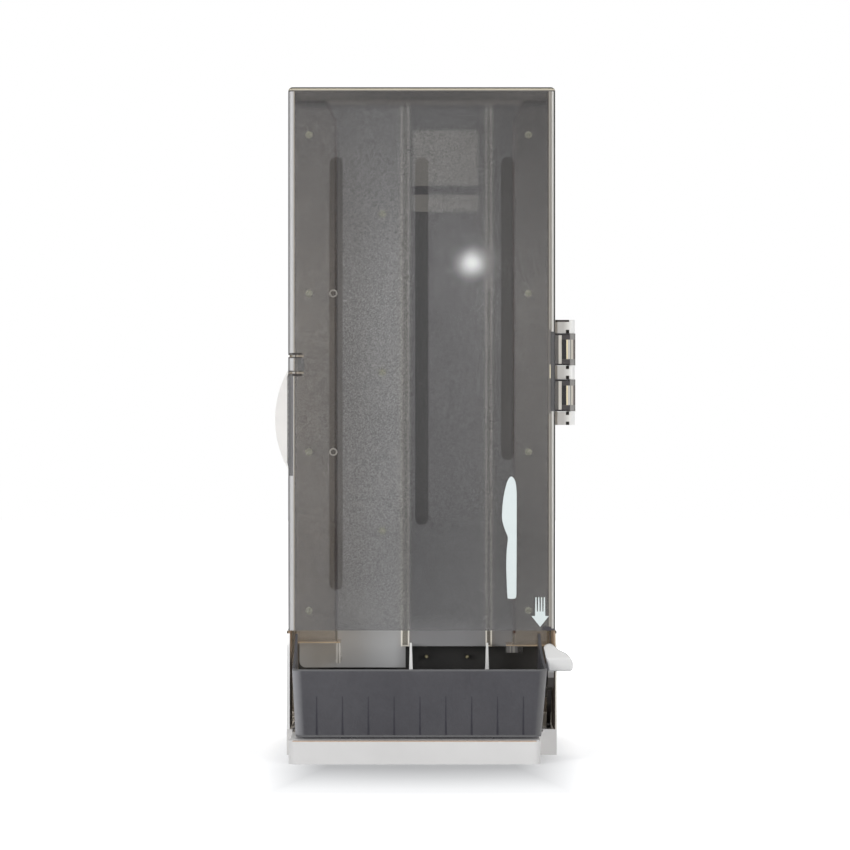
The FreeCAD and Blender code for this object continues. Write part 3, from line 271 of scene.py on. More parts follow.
# ---------------------------------------------------------------- finishes
def door_smoke():
    """Smoke plastic with a fine milky grain and polished windows, painted darker towards its upper right as
    painted shade, with painted highlights, painted shade and dark painted outlines along its rounded edges
    and hinge knuckles.
    """
    recipe = Recipe("door_smoke", IOR=PLASTIC_IOR, Coat_Weight=1.0, Coat_Roughness=0.05, Coat_IOR=PLASTIC_IOR)
    x, y, z = recipe.axes()
    window = window_mask(recipe)
    cloud = recipe.patches(14.0, 2.0)
    speckle = recipe.noise(1400.0, 2.0)
    grit = recipe.patches(820.0, 1.0)
    # painted shade: the door darkens towards its upper right
    painted_shade_upper_right = recipe.both(recipe.spread(x, 0.0, 1.0, 0.02, 0.10), recipe.spread(z, 0.0, 0.6, 0.44, 0.60))
    colour = recipe.blend(cloud,
                          recipe.blend(grit, (0.235, 0.233, 0.237), (0.505, 0.502, 0.506)),
                          recipe.blend(grit, (0.255, 0.253, 0.257), (0.535, 0.532, 0.536)))
    colour = recipe.blend(painted_shade_upper_right, colour, recipe.blend(grit, (0.195, 0.190, 0.190), (0.345, 0.338, 0.335)))
    polished = recipe.blend(recipe.spread(x, 0.0, 1.0, 0.03, 0.05),
                            (0.335, 0.328, 0.326), (0.385, 0.378, 0.374))
    colour = recipe.blend(window, colour, polished)
    clearness = recipe.number(window, recipe.spread(speckle, 0.88, 0.93), 0.98)
    rough = recipe.number(window, recipe.spread(speckle, 0.175, 0.205), 0.05)
    # painted highlights, painted shade and dark painted outlines along the rounded edges and on the hinge
    # knuckles
    for bands, gloss in ((painted_rim_light(recipe, x, y, z), RIM_GLOSS), (painted_knuckle_light(recipe, x, z), KNUCKLE_GLOSS)):
        for mask, tint, share in bands:
            colour = recipe.blend(mask, colour, tint)
            clearness = recipe.number(mask, clearness, share)
            rough = recipe.number(mask, rough, gloss)
    recipe.skin_colour(colour)
    recipe.skin_clearness(clearness)
    recipe.skin_roughness(rough)
    grain = recipe.math("MULTIPLY", recipe.noise(900.0, 4.0), recipe.math("SUBTRACT", 1.0, window))
    recipe.bump(grain, 0.08, 0.0001)
    recipe.let_lamps_through((0.84, 0.835, 0.825))
    return recipe.material


def painted_rim_light(recipe, x, y, z):
    """The painted light and shade round the door's front, as painted highlights, painted shade and dark
    painted outlines: where each is, its colour and its clearness.
    """
    front = recipe.both(recipe.below(y, DOOR_FRONT + 0.0055),
                        recipe.below(recipe.math("ABSOLUTE", x), DOOR_SIDE + 0.0002))
    side = recipe.both(front, recipe.below(z, DOOR_TOP - 0.0036))
    top = recipe.both(front, recipe.above(z, DOOR_TOP - 0.0046))
    roof = recipe.both(front, recipe.spread(z, 0.0, 1.0, 0.6060, 0.6170))
    grip = recipe.both(side, recipe.step_in(z, *GRIP_SPAN), recipe.below(x, -0.1212))
    slits = recipe.both(recipe.below(y, DOOR_FRONT + 0.008), recipe.below(x, -0.1128),
                        recipe.either(*[recipe.step_in(z, *span) for span in SLIT_SPANS]))
    seam = recipe.both(side, recipe.step_in(z, 0.3212, 0.4000), recipe.step_in(x, 0.1190, 0.1216))
    hinge = recipe.both(side, recipe.step_in(z, *HINGE_SPAN), recipe.above(x, 0.1212))
    gap = recipe.both(side, recipe.step_in(z, 0.3542, 0.3672), recipe.step_in(x, 0.1203, 0.1213))
    corner = recipe.either(recipe.both(recipe.step_in(x, 0.1135, 0.1222), recipe.below(z, 0.1206)),
                           recipe.both(recipe.step_in(x, 0.1221, 0.1270), recipe.below(z, 0.1188)))
    # painted shade under the roof, in the grip and its slits, along the hinge seam, beside the hinge and at
    # the lower corners; a painted highlight in the hinge gap
    bands = [(roof, (0.155, 0.153, 0.156), 0.88)]
    bands += [(recipe.both(side, recipe.step_in(x, low, high)), tint, share)
              for low, high, tint, share in SIDE_PAINTED_LIGHT]
    bands += [(recipe.both(top, recipe.step_in(z, low, high)), tint, share)
              for low, high, tint, share in TOP_PAINTED_LIGHT]
    bands += [(grip, (0.11, 0.108, 0.112), 0.40),
              (slits, (0.050, 0.045, 0.042), 0.40),
              (seam, (0.19, 0.18, 0.17), 0.35),
              (hinge, (0.045, 0.043, 0.046), 0.30),
              (gap, (0.66, 0.60, 0.46), 0.20),
              (recipe.both(front, corner), (0.050, 0.044, 0.052), 0.30)]
    return bands


def knuckle_ends(recipe, z, above, below):
    """One near both ends of each hinge knuckle, as far as the two lengths reach into it."""
    masks = []
    for bottom in KNUCKLE_BOTTOMS:
        top = bottom + KNUCKLE_HEIGHT
        masks.append(recipe.step_in(z, bottom - 0.001, bottom + above))
        masks.append(recipe.step_in(z, top - below, top + 0.001))
    return recipe.either(*masks)


def painted_knuckle_light(recipe, x, z):
    """The hinge knuckles in painted light and shade: a dark frame, a pale arm, a dark root and a barrel whose
    pin is painted on.
    """
    knuckle = recipe.above(x, DOOR_SIDE + 0.0004)
    block = knuckle_ends(recipe, z, 0.0060, 0.0060)
    frame_line = recipe.both(knuckle, recipe.below(x, 0.1412), knuckle_ends(recipe, z, 0.0016, 0.0018))
    bands = [(recipe.both(knuckle, recipe.step_in(x, low, high)), tint, 0.20)
             for low, high, tint in KNUCKLE_PAINTED_LIGHT]
    # painted shade at both ends of each knuckle, with a painted dark line framing them
    bands += [(recipe.both(block, recipe.step_in(x, 0.1343, 0.1420)), (0.080, 0.074, 0.076), 0.25),
              (recipe.both(block, recipe.step_in(x, 0.1420, 0.1480)), (0.27, 0.26, 0.25), 0.25),
              (frame_line, (0.045, 0.042, 0.045), 0.25)]
    return bands


def shell_smoke():
    """Warm smoke plastic of the housing, with painted shade inside its cheeks and on its roof, and painted
    highlights along the cheeks' front edges.
    """
    recipe = Recipe("shell_smoke", IOR=PLASTIC_IOR)
    x, y, z = recipe.axes()
    across = recipe.math("ABSOLUTE", x)
    colour = recipe.blend(recipe.patches(20.0), (0.56, 0.50, 0.42), (0.62, 0.56, 0.48))
    cheek = recipe.both(recipe.below(z, CHEEK_TOP), recipe.below(y, 0.005))
    inner = recipe.both(cheek, recipe.below(across, 0.1256))
    edge = recipe.both(cheek, recipe.below(y, DOOR_FRONT + 0.0004),
                       recipe.above(recipe.spread(x, 0.130, -0.0003, -0.1, 0.1),
                                    recipe.math("SUBTRACT", 0.1253, across)))
    # painted shade: the insides of the cheeks darken towards the bottom; painted highlights along their front
    # edges, white on the left and warm on the right
    dark = recipe.blend(recipe.spread(z, 0.0, 1.0, 0.100, 0.085), (0.30, 0.22, 0.155), (0.040, 0.028, 0.022))
    painted_highlight = recipe.blend(recipe.below(x, 0.0), (0.86, 0.82, 0.74), (0.98, 0.98, 0.97))
    colour = recipe.blend(inner, colour, dark)
    # painted shade: the roof, above ROOF_FOOT, is darker
    colour = recipe.blend(recipe.above(z, ROOF_FOOT), colour, (0.34, 0.305, 0.265))
    colour = recipe.blend(edge, colour, painted_highlight)
    recipe.skin_colour(colour)
    clearness = recipe.number(inner, recipe.spread(recipe.noise(300.0), 0.86, 0.92), 0.10)
    recipe.skin_clearness(recipe.number(edge, clearness, 0.1))
    recipe.skin_roughness(recipe.number(inner, recipe.spread(recipe.noise(120.0), 0.10, 0.18), 0.70))
    recipe.bump(recipe.noise(800.0, 4.0), 0.06, 0.0002)
    recipe.let_lamps_through((0.78, 0.75, 0.70))
    return recipe.material


def guide_smoke(name, edge, tab_top, tab, lip, painted_top_shade):
    """Clear brown plastic of a knife guide, with painted shade where its walls are seen end on and towards
    its upper and lower ends.

    Its inner wall stands at edge from the middle.  Under tab_top it is in painted shade, and the end of
    its tab takes the colours tab and lip, whose lip lines are painted highlights, with a painted warm
    highlight along its foot.  painted_top_shade is how much painted shade darkens its upper end.
    """
    recipe = Recipe(name, IOR=PLASTIC_IOR)
    x, _, z = recipe.axes()
    across = recipe.math("ABSOLUTE", x)
    colour = recipe.blend(recipe.patches(16.0), (0.56, 0.52, 0.46), (0.64, 0.59, 0.52))
    # painted shade: darker towards the upper end, by painted_top_shade, and towards the lower end
    shade = recipe.either(recipe.spread(z, 0.0, painted_top_shade, 0.42, 0.60), recipe.spread(z, 0.22, 0.0, 0.15, 0.33))
    colour = recipe.blend(shade, colour, (0.22, 0.175, 0.14))
    # painted shade where the inner wall, the top and the chamfer are seen end on
    inner = recipe.step_in(across, edge - 0.0012, edge + 0.0024)
    top = recipe.above(z, GUIDE_TOP - 0.0021)
    outwards = recipe.math("MULTIPLY", recipe.math("SUBTRACT", across, edge), CHAMFER_NORMAL[0])
    upwards = recipe.math("MULTIPLY", recipe.math("SUBTRACT", z, CHAMFER_FOOT), CHAMFER_NORMAL[1])
    chamfer = recipe.below(recipe.math("SUBTRACT", outwards, upwards), 0.0021)
    wall = recipe.both(recipe.either(inner, top, chamfer), recipe.above(z, tab_top + 0.012))
    colour = recipe.blend(wall, colour, (0.045, 0.018, 0.011))
    low = recipe.below(z, tab_top - 0.0002)
    end = recipe.both(low, recipe.below(across, edge + 0.0045))
    foot = recipe.step_in(z, tab_top - 0.0002, tab_top + 0.0014)
    outline = recipe.either(recipe.step_in(across, edge - 0.0002, edge + 0.0020),
                            recipe.step_in(across, edge - 0.0029, edge - 0.0018))
    # painted shade below the tab's top; the lip colour paints highlights along the tab's end, and the foot
    # takes a painted warm highlight
    colour = recipe.blend(low, colour, (0.11, 0.10, 0.09))
    colour = recipe.blend(end, colour, recipe.blend(outline, tab, lip))
    colour = recipe.blend(foot, colour, (0.50, 0.39, 0.27))
    recipe.skin_colour(colour)
    clearness = recipe.number(wall, recipe.spread(recipe.noise(300.0), 0.86, 0.92), 0.12)
    clearness = recipe.number(recipe.either(end, foot), clearness, 0.30)
    recipe.skin_clearness(clearness)
    recipe.skin_roughness(recipe.spread(recipe.noise(120.0), 0.12, 0.17))
    recipe.bump(recipe.noise(700.0, 4.0), 0.01, 0.0001)
    recipe.let_lamps_through((0.84, 0.81, 0.77))
    return recipe.material


def tray_smoke():
    """Dark smoke plastic of the tray, whose inner ribs show through its front, with painted highlights down
    its front corners and along its rim and heel.
    """
    recipe = Recipe("tray_smoke", IOR=PLASTIC_IOR)
    x, y, z = recipe.axes()
    colour = recipe.blend(recipe.patches(18.0), (0.071, 0.070, 0.079), (0.085, 0.084, 0.093))
    drop = recipe.math("SUBTRACT", TRAY_TOP, z)
    left_side = recipe.math("SUBTRACT", recipe.math("MULTIPLY", drop, 0.0463), 0.1192)
    right_side = recipe.math("SUBTRACT", 0.1160, recipe.math("MULTIPLY", drop, 0.0751))
    from_left = recipe.math("SUBTRACT", x, left_side)
    from_right = recipe.math("SUBTRACT", right_side, x)
    # painted highlights down the tray's front corners
    glow = recipe.both(recipe.above(drop, 0.0), recipe.below(y, -0.085))
    left_band = recipe.both(glow, recipe.spread(from_left, 1.0, 0.0, 0.0018, 0.0090))
    right_band = recipe.both(glow, recipe.spread(from_right, 0.0, 1.0, 0.0004, 0.0014),
                             recipe.spread(from_right, 1.0, 0.0, 0.0022, 0.0080))
    colour = recipe.blend(left_band, colour, (0.32, 0.32, 0.335))
    colour = recipe.blend(right_band, colour, (0.21, 0.207, 0.207))
    # painted highlights along the rim and the heel of the front
    front = recipe.below(y, -0.094)
    rim = recipe.both(front, recipe.step_in(z, 0.0848, 0.0864))
    heel = recipe.both(front, recipe.step_in(z, 0.0232, 0.0256))
    colour = recipe.blend(recipe.either(rim, heel), colour, (0.15, 0.15, 0.155))
    along = recipe.math("SUBTRACT", x, FIRST_TRAY_RIB - TRAY_RIB_PITCH / 2)
    step = recipe.math("DIVIDE", along, TRAY_RIB_PITCH)
    away = recipe.math("ABSOLUTE", recipe.math("SUBTRACT", recipe.math("FRACT", step), 0.5))
    width = recipe.spread(z, 0.042, 0.016, 0.026, 0.060)
    near = recipe.spread(recipe.math("SUBTRACT", away, width), 1.0, 0.0, -0.012, 0.012)
    inside = recipe.below(recipe.math("ABSOLUTE", recipe.math("ADD", x, 0.0015)), 0.104)
    rib = recipe.both(near, recipe.step_in(z, 0.0256, 0.0615), front, inside)
    recipe.skin_colour(recipe.blend(rib, colour, (0.036, 0.035, 0.045)))
    recipe.skin_clearness(recipe.spread(recipe.noise(200.0), 0.22, 0.32))
    recipe.skin_roughness(recipe.spread(recipe.noise(150.0), 0.30, 0.40))
    recipe.bump(recipe.noise(800.0, 4.0), 0.12, 0.0002)
    recipe.let_lamps_through((0.42, 0.42, 0.44))
    return recipe.material


def rib_clear(name, middle, width):
    """Clear channel with a warm tint, with painted highlights along its two lips and foot."""
    recipe = Recipe(name, IOR=PLASTIC_IOR)
    x, _, z = recipe.axes()
    colour = recipe.blend(recipe.patches(30.0, 2.0), (0.80, 0.78, 0.72), (0.88, 0.86, 0.80))
    away = recipe.math("ABSOLUTE", recipe.math("SUBTRACT", x, middle))
    # painted highlights on the two lips and the foot
    painted_highlight = recipe.either(recipe.above(away, width / 2 - 0.0014), recipe.below(z, 0.0992))
    recipe.skin_colour(recipe.blend(painted_highlight, colour, (0.96, 0.93, 0.85)))
    recipe.skin_clearness(recipe.number(painted_highlight, 0.90, 0.30))
    recipe.skin_roughness(recipe.spread(recipe.noise(200.0), 0.12, 0.20))
    recipe.bump(recipe.noise(500.0), 0.08, 0.0002)
    recipe.let_lamps_through((0.88, 0.86, 0.82))
    return recipe.material


def chute_grey():
    """Grey plastic behind the knives, paler at the left, with painted shade past the left rib and towards its
    upper end; below the door, painted light grows across its tongue towards the right and its shelf past the
    left rib is in painted shade.
    """
    recipe = Recipe("chute_grey")
    x, _, z = recipe.axes()
    drift = recipe.patches(9.0)
    # painted shade past the left rib, deepest just beside it
    painted_shade_past_left_rib = recipe.spread(x, 0.0, 1.0, *LEFT_RIB_PAINTED_SHADE)
    left = recipe.blend(drift, (0.45, 0.450, 0.450), (0.49, 0.490, 0.490))
    middle = recipe.blend(recipe.spread(x, 0.0, 1.0, -0.012, 0.061),
                          (0.054, 0.054, 0.057), (0.165, 0.164, 0.166))
    right = recipe.blend(drift, (0.120, 0.118, 0.116), (0.14, 0.138, 0.136))
    colour = recipe.blend(painted_shade_past_left_rib, left, middle)
    colour = recipe.blend(recipe.spread(x, 0.0, 1.0, *RIGHT_RIB_PAINTED_SHADE), colour, right)
    # painted shade towards the upper end
    colour = recipe.blend(recipe.spread(z, 0.0, 0.74, 0.44, 0.60), colour, (0.040, 0.040, 0.040))
    # below the door: a tongue whose painted light grows towards the right, and a shelf in painted shade past
    # the left rib
    low = recipe.spread(z, 1.0, 0.0, 0.112, 0.130)
    tongue = recipe.blend(recipe.spread(x, 0.0, 1.0, -0.112, -0.030),
                          (0.315, 0.313, 0.311), (0.362, 0.365, 0.367))
    shelf = recipe.blend(drift, (0.19, 0.19, 0.195), (0.215, 0.215, 0.22))
    recipe.skin_colour(recipe.blend(low, colour, recipe.blend(painted_shade_past_left_rib, tongue, shelf)))
    recipe.skin_roughness(recipe.spread(recipe.noise(700.0, 2.0), 0.09, 0.11))
    recipe.bump(recipe.noise(900.0, 2.0), 0.01, 0.0001)
    return recipe.material


def base_grey():
    """Light grey plastic of the base, painted paler behind its lip as painted light, with a thin warm line of
    painted shade along the top of the lip.
    """
    recipe = Recipe("base_grey")
    _, y, z = recipe.axes()
    colour = recipe.blend(recipe.patches(11.0, 4.0), (0.565, 0.56, 0.555), (0.615, 0.61, 0.605))
    # painted shade: a thin warm line along the top of the lip
    line = recipe.both(recipe.step_in(z, 0.0207, 0.0217), recipe.below(y, -0.1095))
    # painted light: paler behind the lip
    colour = recipe.blend(recipe.spread(y, 0.0, 1.0, -0.108, -0.100), colour, (0.68, 0.67, 0.66))
    recipe.skin_colour(recipe.blend(line, colour, (0.44, 0.31, 0.22)))
    recipe.satin(0.45, 0.2)
    return recipe.material


def lever_white():
    """White plastic of the lever, with painted shade greying the arm below the pad and darkening it lower
    down.
    """
    recipe = Recipe("lever_white")
    z = recipe.axes()[2]
    colour = recipe.blend(recipe.patches(14.0, 4.0), (0.60, 0.60, 0.595), (0.65, 0.65, 0.645))
    # painted shade: the arm is grey below the pad and near black below 0.075 m
    arm = recipe.spread(z, 1.0, 0.0, 0.0795, 0.0815)
    colour = recipe.blend(arm, colour, (0.30, 0.29, 0.28))
    recipe.skin_colour(recipe.blend(recipe.below(z, 0.0750), colour, (0.055, 0.048, 0.044)))
    recipe.satin(0.38, 0.12)
    return recipe.material


def back_white():
    """White plastic of the back plate, with painted shade where the housing covers the foot of its face."""
    recipe = Recipe("back_white")
    x, y, z = recipe.axes()
    colour = recipe.blend(recipe.patches(11.0, 4.0), (0.92, 0.92, 0.915), (0.97, 0.97, 0.965))
    # painted shade on the foot of the plate's face inside the housing
    inside = recipe.both(recipe.below(y, 0.1084), recipe.spread(z, 1.0, 0.0, 0.118, 0.128),
                         recipe.below(recipe.math("ABSOLUTE", x), HOUSING_SIDE))
    recipe.skin_colour(recipe.blend(inside, colour, (0.085, 0.072, 0.062)))
    recipe.satin(0.42, 0.2)
    return recipe.material


def bracket_white():
    """White plastic of the hinge bracket, with painted shade greying it beside the door and darkening the
    insides of its notches and slot.
    """
    recipe = Recipe("bracket_white")
    x, y, z = recipe.axes()
    drift = recipe.patches(11.0, 4.0)
    colour = recipe.blend(drift, (0.74, 0.74, 0.725), (0.79, 0.79, 0.78))
    shade = recipe.blend(drift, (0.48, 0.475, 0.465), (0.53, 0.525, 0.515))
    # painted shade beside the door
    colour = recipe.blend(recipe.spread(x, 1.0, 0.0, 0.1355, 0.1410), colour, shade)
    # painted shade inside the notches and the slot
    notches = recipe.both(recipe.either(*[recipe.step_in(z, low, high) for low, high in NOTCHES]),
                          recipe.above(x, 0.1378))
    slot = recipe.step_in(z, 0.4088, 0.41105)
    painted_notch_shade = recipe.both(recipe.either(notches, slot), recipe.below(x, 0.1414),
                        recipe.step_in(y, *NOTCH_DEPTHS))
    recipe.skin_colour(recipe.blend(painted_notch_shade, colour, (0.030, 0.022, 0.018)))
    recipe.satin(0.36, 0.2)
    return recipe.material


def stud_brass():
    """Dull brass of the frame's studs, with a painted glint in the middle of each that fades to near black
    towards the rim.
    """
    recipe = Recipe("stud_brass", Metallic=0.6)
    x, _, z = recipe.axes()
    near = []
    for middle in STUD_MIDDLES:
        spot = recipe.node("ShaderNodeCombineXYZ")
        recipe.feed(spot, 0, recipe.math("SUBTRACT", x, middle))
        recipe.feed(spot, 2, recipe.math("SUBTRACT", z, STUD_HEIGHT))
        near.append(recipe.vector("LENGTH", spot.outputs[0]))
    # a painted glint at each stud's middle, with a ragged edge
    away = recipe.math("MINIMUM", near[0], near[1])
    painted_glint_jitter = recipe.spread(recipe.noise(900.0, 3.0), -0.0003, 0.0003)
    share = recipe.spread(recipe.math("ADD", away, painted_glint_jitter), 0.0, 1.0, 0.0004, 0.0019)
    recipe.skin_colour(recipe.blend(share, (0.62, 0.56, 0.34), (0.035, 0.033, 0.028)))
    recipe.skin_roughness(recipe.spread(recipe.noise(300.0), 0.35, 0.5))
    recipe.bump(recipe.noise(1200.0), 0.1, 0.0001)
    return recipe.material


def moulded(name, dark, light, rough):
    """An opaque moulded plastic: a slow drift of tone, a satin skin and a fine grain."""
    recipe = Recipe(name)
    recipe.skin_colour(recipe.blend(recipe.patches(11.0, 4.0), dark, light))
    recipe.satin(rough, 0.2)
    return recipe.material


def label_paper():
    """Bare cream sticker with one dark band."""
    recipe = Recipe("label_paper")
    z = recipe.axes()[2]
    fibre = recipe.patches(500.0, 5.0)
    paper = recipe.blend(fibre, (0.285, 0.276, 0.255), (0.325, 0.316, 0.292))
    ink = recipe.blend(fibre, (0.025, 0.025, 0.029), (0.035, 0.035, 0.040))
    band = recipe.step_in(z, 0.5313, 0.5397)
    recipe.skin_colour(recipe.blend(band, paper, ink))
    recipe.skin_roughness(recipe.number(fibre, 0.55, 0.7))
    recipe.bump(recipe.noise(900.0, 4.0), 0.15, 0.0001)
    return recipe.material


def steel(name, dark, light, metal=1.0):
    """Plated steel with fine turning marks."""
    recipe = Recipe(name, Metallic=metal)
    marks = recipe.noise(60.0, 5.0, 0.6, (1.0, 6.0, 40.0))
    recipe.skin_colour(recipe.blend(recipe.spread(marks, 0.0, 1.0), dark, light))
    recipe.skin_roughness(recipe.spread(marks, 0.24, 0.40))
    recipe.bump(marks, 0.08, 0.0001)
    return recipe.material


def foot_rubber():
    """Matt black rubber."""
    recipe = Recipe("foot_rubber")
    dust = recipe.patches(260.0, 5.0)
    recipe.skin_colour(recipe.blend(dust, (0.018, 0.018, 0.018), (0.035, 0.034, 0.033)))
    recipe.skin_roughness(recipe.number(dust, 0.75, 0.9))
    recipe.bump(recipe.noise(1200.0, 3.0), 0.3, 0.0002)
    return recipe.material


def sign_ink():
    """Pale ink of the printed signs, thin in places."""
    recipe = Recipe("sign_ink")
    speck = recipe.patches(1600.0, 4.0)
    recipe.skin_colour(recipe.blend(speck, (0.60, 0.66, 0.66), (0.67, 0.73, 0.73)))
    recipe.skin_roughness(recipe.number(speck, 0.5, 0.62))
    recipe.bump(recipe.noise(1100.0, 3.0), 0.1, 0.00005)
    return recipe.material


FINISHES = {
    "base_grey": base_grey(),
    "back_white": back_white(),
    "bracket_white": bracket_white(),
    "finger_white": moulded("finger_white", (0.78, 0.78, 0.77), (0.86, 0.86, 0.85), 0.36),
    "lever_white": lever_white(),
    "chute_grey": chute_grey(),
    "bushing_grey": moulded("bushing_grey", (0.19, 0.19, 0.19), (0.23, 0.23, 0.23), 0.30),
    "frame_black": moulded("frame_black", (0.027, 0.027, 0.027), (0.038, 0.037, 0.036), 0.38),
    "door_smoke": door_smoke(),
    "shell_smoke": shell_smoke(),
    "left_guide_smoke": guide_smoke("left_guide_smoke", LEFT_GUIDE_EDGE, 0.1036,
                                    (0.34, 0.32, 0.29), (0.64, 0.61, 0.56), 0.45),
    # the right guide's tab colours are the left's darkened as painted shade, and more painted shade darkens
    # its upper end
    "right_guide_smoke": guide_smoke("right_guide_smoke", RIGHT_GUIDE_EDGE, 0.1007,
                                     (0.15, 0.145, 0.14), (0.29, 0.28, 0.26), 0.85),
    "tray_smoke": tray_smoke(),
    "left_rib_clear": rib_clear("left_rib_clear", *LEFT_RIB),
    "right_rib_clear": rib_clear("right_rib_clear", *RIGHT_RIB),
    "keeper_smoke": moulded("keeper_smoke", (0.135, 0.128, 0.12), (0.16, 0.152, 0.143), 0.25),
    "label_paper": label_paper(),
    "ring_cream": moulded("ring_cream", (0.90, 0.87, 0.78), (0.96, 0.93, 0.85), 0.30),
    "bright_steel": steel("bright_steel", (0.62, 0.62, 0.61), (0.76, 0.75, 0.73)),
    "zinc_steel": steel("zinc_steel", (0.68, 0.69, 0.47), (0.78, 0.79, 0.57), 0.25),
    # dark steel of the return spring: blackened spring steel, and painted shade for its dark corner
    "dark_steel": steel("dark_steel", (0.05, 0.048, 0.046), (0.10, 0.095, 0.09)),
    "stud_brass": stud_brass(),
    "foot_rubber": foot_rubber(),
    "sign_ink": sign_ink(),
}

NODE_FINISH = {
    "base": "base_grey", "foot_pads": "foot_rubber", "housing": "shell_smoke",
    "back_plate": "back_white", "hinge_bracket": "bracket_white", "hinge_pin": "bright_steel",
    "hinge_screws": "bright_steel", "door": "door_smoke", "left_guide": "left_guide_smoke",
    "right_guide": "right_guide_smoke", "guide_screws": "zinc_steel", "chute_back": "chute_grey",
    "back_screws": "zinc_steel", "left_rib": "left_rib_clear", "right_rib": "right_rib_clear",
    "instruction_label": "label_paper", "latch_keeper": "keeper_smoke", "tray": "tray_smoke",
    "mechanism_frame": "frame_black", "frame_studs": "stud_brass", "shaft": "bright_steel",
    "shaft_bushings": "bushing_grey", "left_finger": "finger_white",
    "right_finger": "finger_white", "set_pins": "bright_steel", "lever": "lever_white",
    "return_spring": "dark_steel",
}


def dress_nodes():
    for name, finish in NODE_FINISH.items():
        mesh = nodes[name].data
        mesh.materials.clear()
        mesh.materials.append(FINISHES[finish])


# ---------------------------------------------------------------- mesh helpers
def piece(name, mesh, body, finish):
    """A finished mesh that rides on a body."""
    thing = bpy.data.objects.new(name, mesh)
    bpy.context.scene.collection.objects.link(thing)
    mesh.materials.clear()
    mesh.materials.append(FINISHES[finish])
    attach(thing, body)
    return thing


def plate(name, outline, back, thick):
    """A flat sheet in the front view: an outline of (x, z) points, its rear face and thickness."""
    mesh = bpy.data.meshes.new(name)
    shape = bmesh.new()
    rear = [shape.verts.new((x, back, z)) for x, z in outline]
    face = shape.faces.new(rear)
    grown = bmesh.ops.extrude_face_region(shape, geom=[face])
    moved = [item for item in grown["geom"] if isinstance(item, bmesh.types.BMVert)]
    bmesh.ops.translate(shape, vec=(0, -thick, 0), verts=moved)
    bmesh.ops.recalc_face_normals(shape, faces=shape.faces)
    shape.to_mesh(mesh)
    shape.free()
    return mesh


def smooth_outline(points, steps=6):
    """A closed curve through some points, rounded between them."""
    count = len(points)
    outline = []
    for i in range(count):
        a, b, c, d = (Vector(points[(i + k) % count]) for k in (-1, 0, 1, 2))
        for step in range(steps):
            t = step / steps
            spot = 0.5 * (2 * b + (c - a) * t + (2 * a - 5 * b + 4 * c - d) * t * t
                          + (3 * b - a - 3 * c + d) * t ** 3)
            outline.append(tuple(spot))
    return outline


dress_nodes()


# ---------------------------------------------------------------- screws and rings
class Tree:
    """A geometry node tree with named inputs, which ends in Realize Instances and Set Material."""

    def __init__(self, name, inputs):
        self.group = bpy.data.node_groups.new(name, "GeometryNodeTree")
        face = self.group.interface
        face.new_socket("Geometry", in_out="INPUT", socket_type="NodeSocketGeometry")
        self.keys = {}
        for label, value in inputs.items():
            kind = "NodeSocketVector" if isinstance(value, tuple) else "NodeSocketFloat"
            socket = face.new_socket(label, in_out="INPUT", socket_type=kind)
            socket.default_value = value
            self.keys[label] = socket.identifier
        face.new_socket("Geometry", in_out="OUTPUT", socket_type="NodeSocketGeometry")
        self.start = self.group.nodes.new("NodeGroupInput")
        self.end = self.group.nodes.new("NodeGroupOutput")

    def node(self, kind, values=None, **settings):
        item = self.group.nodes.new(kind)
        for name, value in settings.items():
            setattr(item, name, value)
        for socket, value in (values or {}).items():
            if isinstance(value, bpy.types.NodeSocket):
                self.group.links.new(value, item.inputs[socket])
            else:
                item.inputs[socket].default_value = value
        return item

    def math(self, operation, first, second=0.0):
        return self.node("ShaderNodeMath", {0: first, 1: second}, operation=operation).outputs[0]

    def join(self, *parts):
        item = self.node("GeometryNodeJoinGeometry")
        for part in parts:
            self.group.links.new(part, item.inputs[0])
        return item.outputs[0]

    def finish(self, geometry, material):
        real = self.node("GeometryNodeRealizeInstances", {0: geometry})
        dressed = self.node("GeometryNodeSetMaterial", {0: real.outputs[0], "Material": material})
        self.group.links.new(dressed.outputs[0], self.end.inputs[0])

    def grow(self, name, points, values):
        """Run the tree on some points and return the result as one plain mesh."""
        seeds = bpy.data.meshes.new(name + "_points")
        seeds.from_pydata(points, [], [])
        thing = bpy.data.objects.new(name + "_points", seeds)
        bpy.context.scene.collection.objects.link(thing)
        modifier = thing.modifiers.new("grow", "NODES")
        modifier.node_group = self.group
        for label, value in values.items():
            modifier[self.keys[label]] = value
        bpy.context.view_layer.update()
        graph = bpy.context.evaluated_depsgraph_get()
        mesh = bpy.data.meshes.new_from_object(thing.evaluated_get(graph))
        mesh.name = name
        bpy.data.objects.remove(thing)
        bpy.data.meshes.remove(seeds)
        return mesh


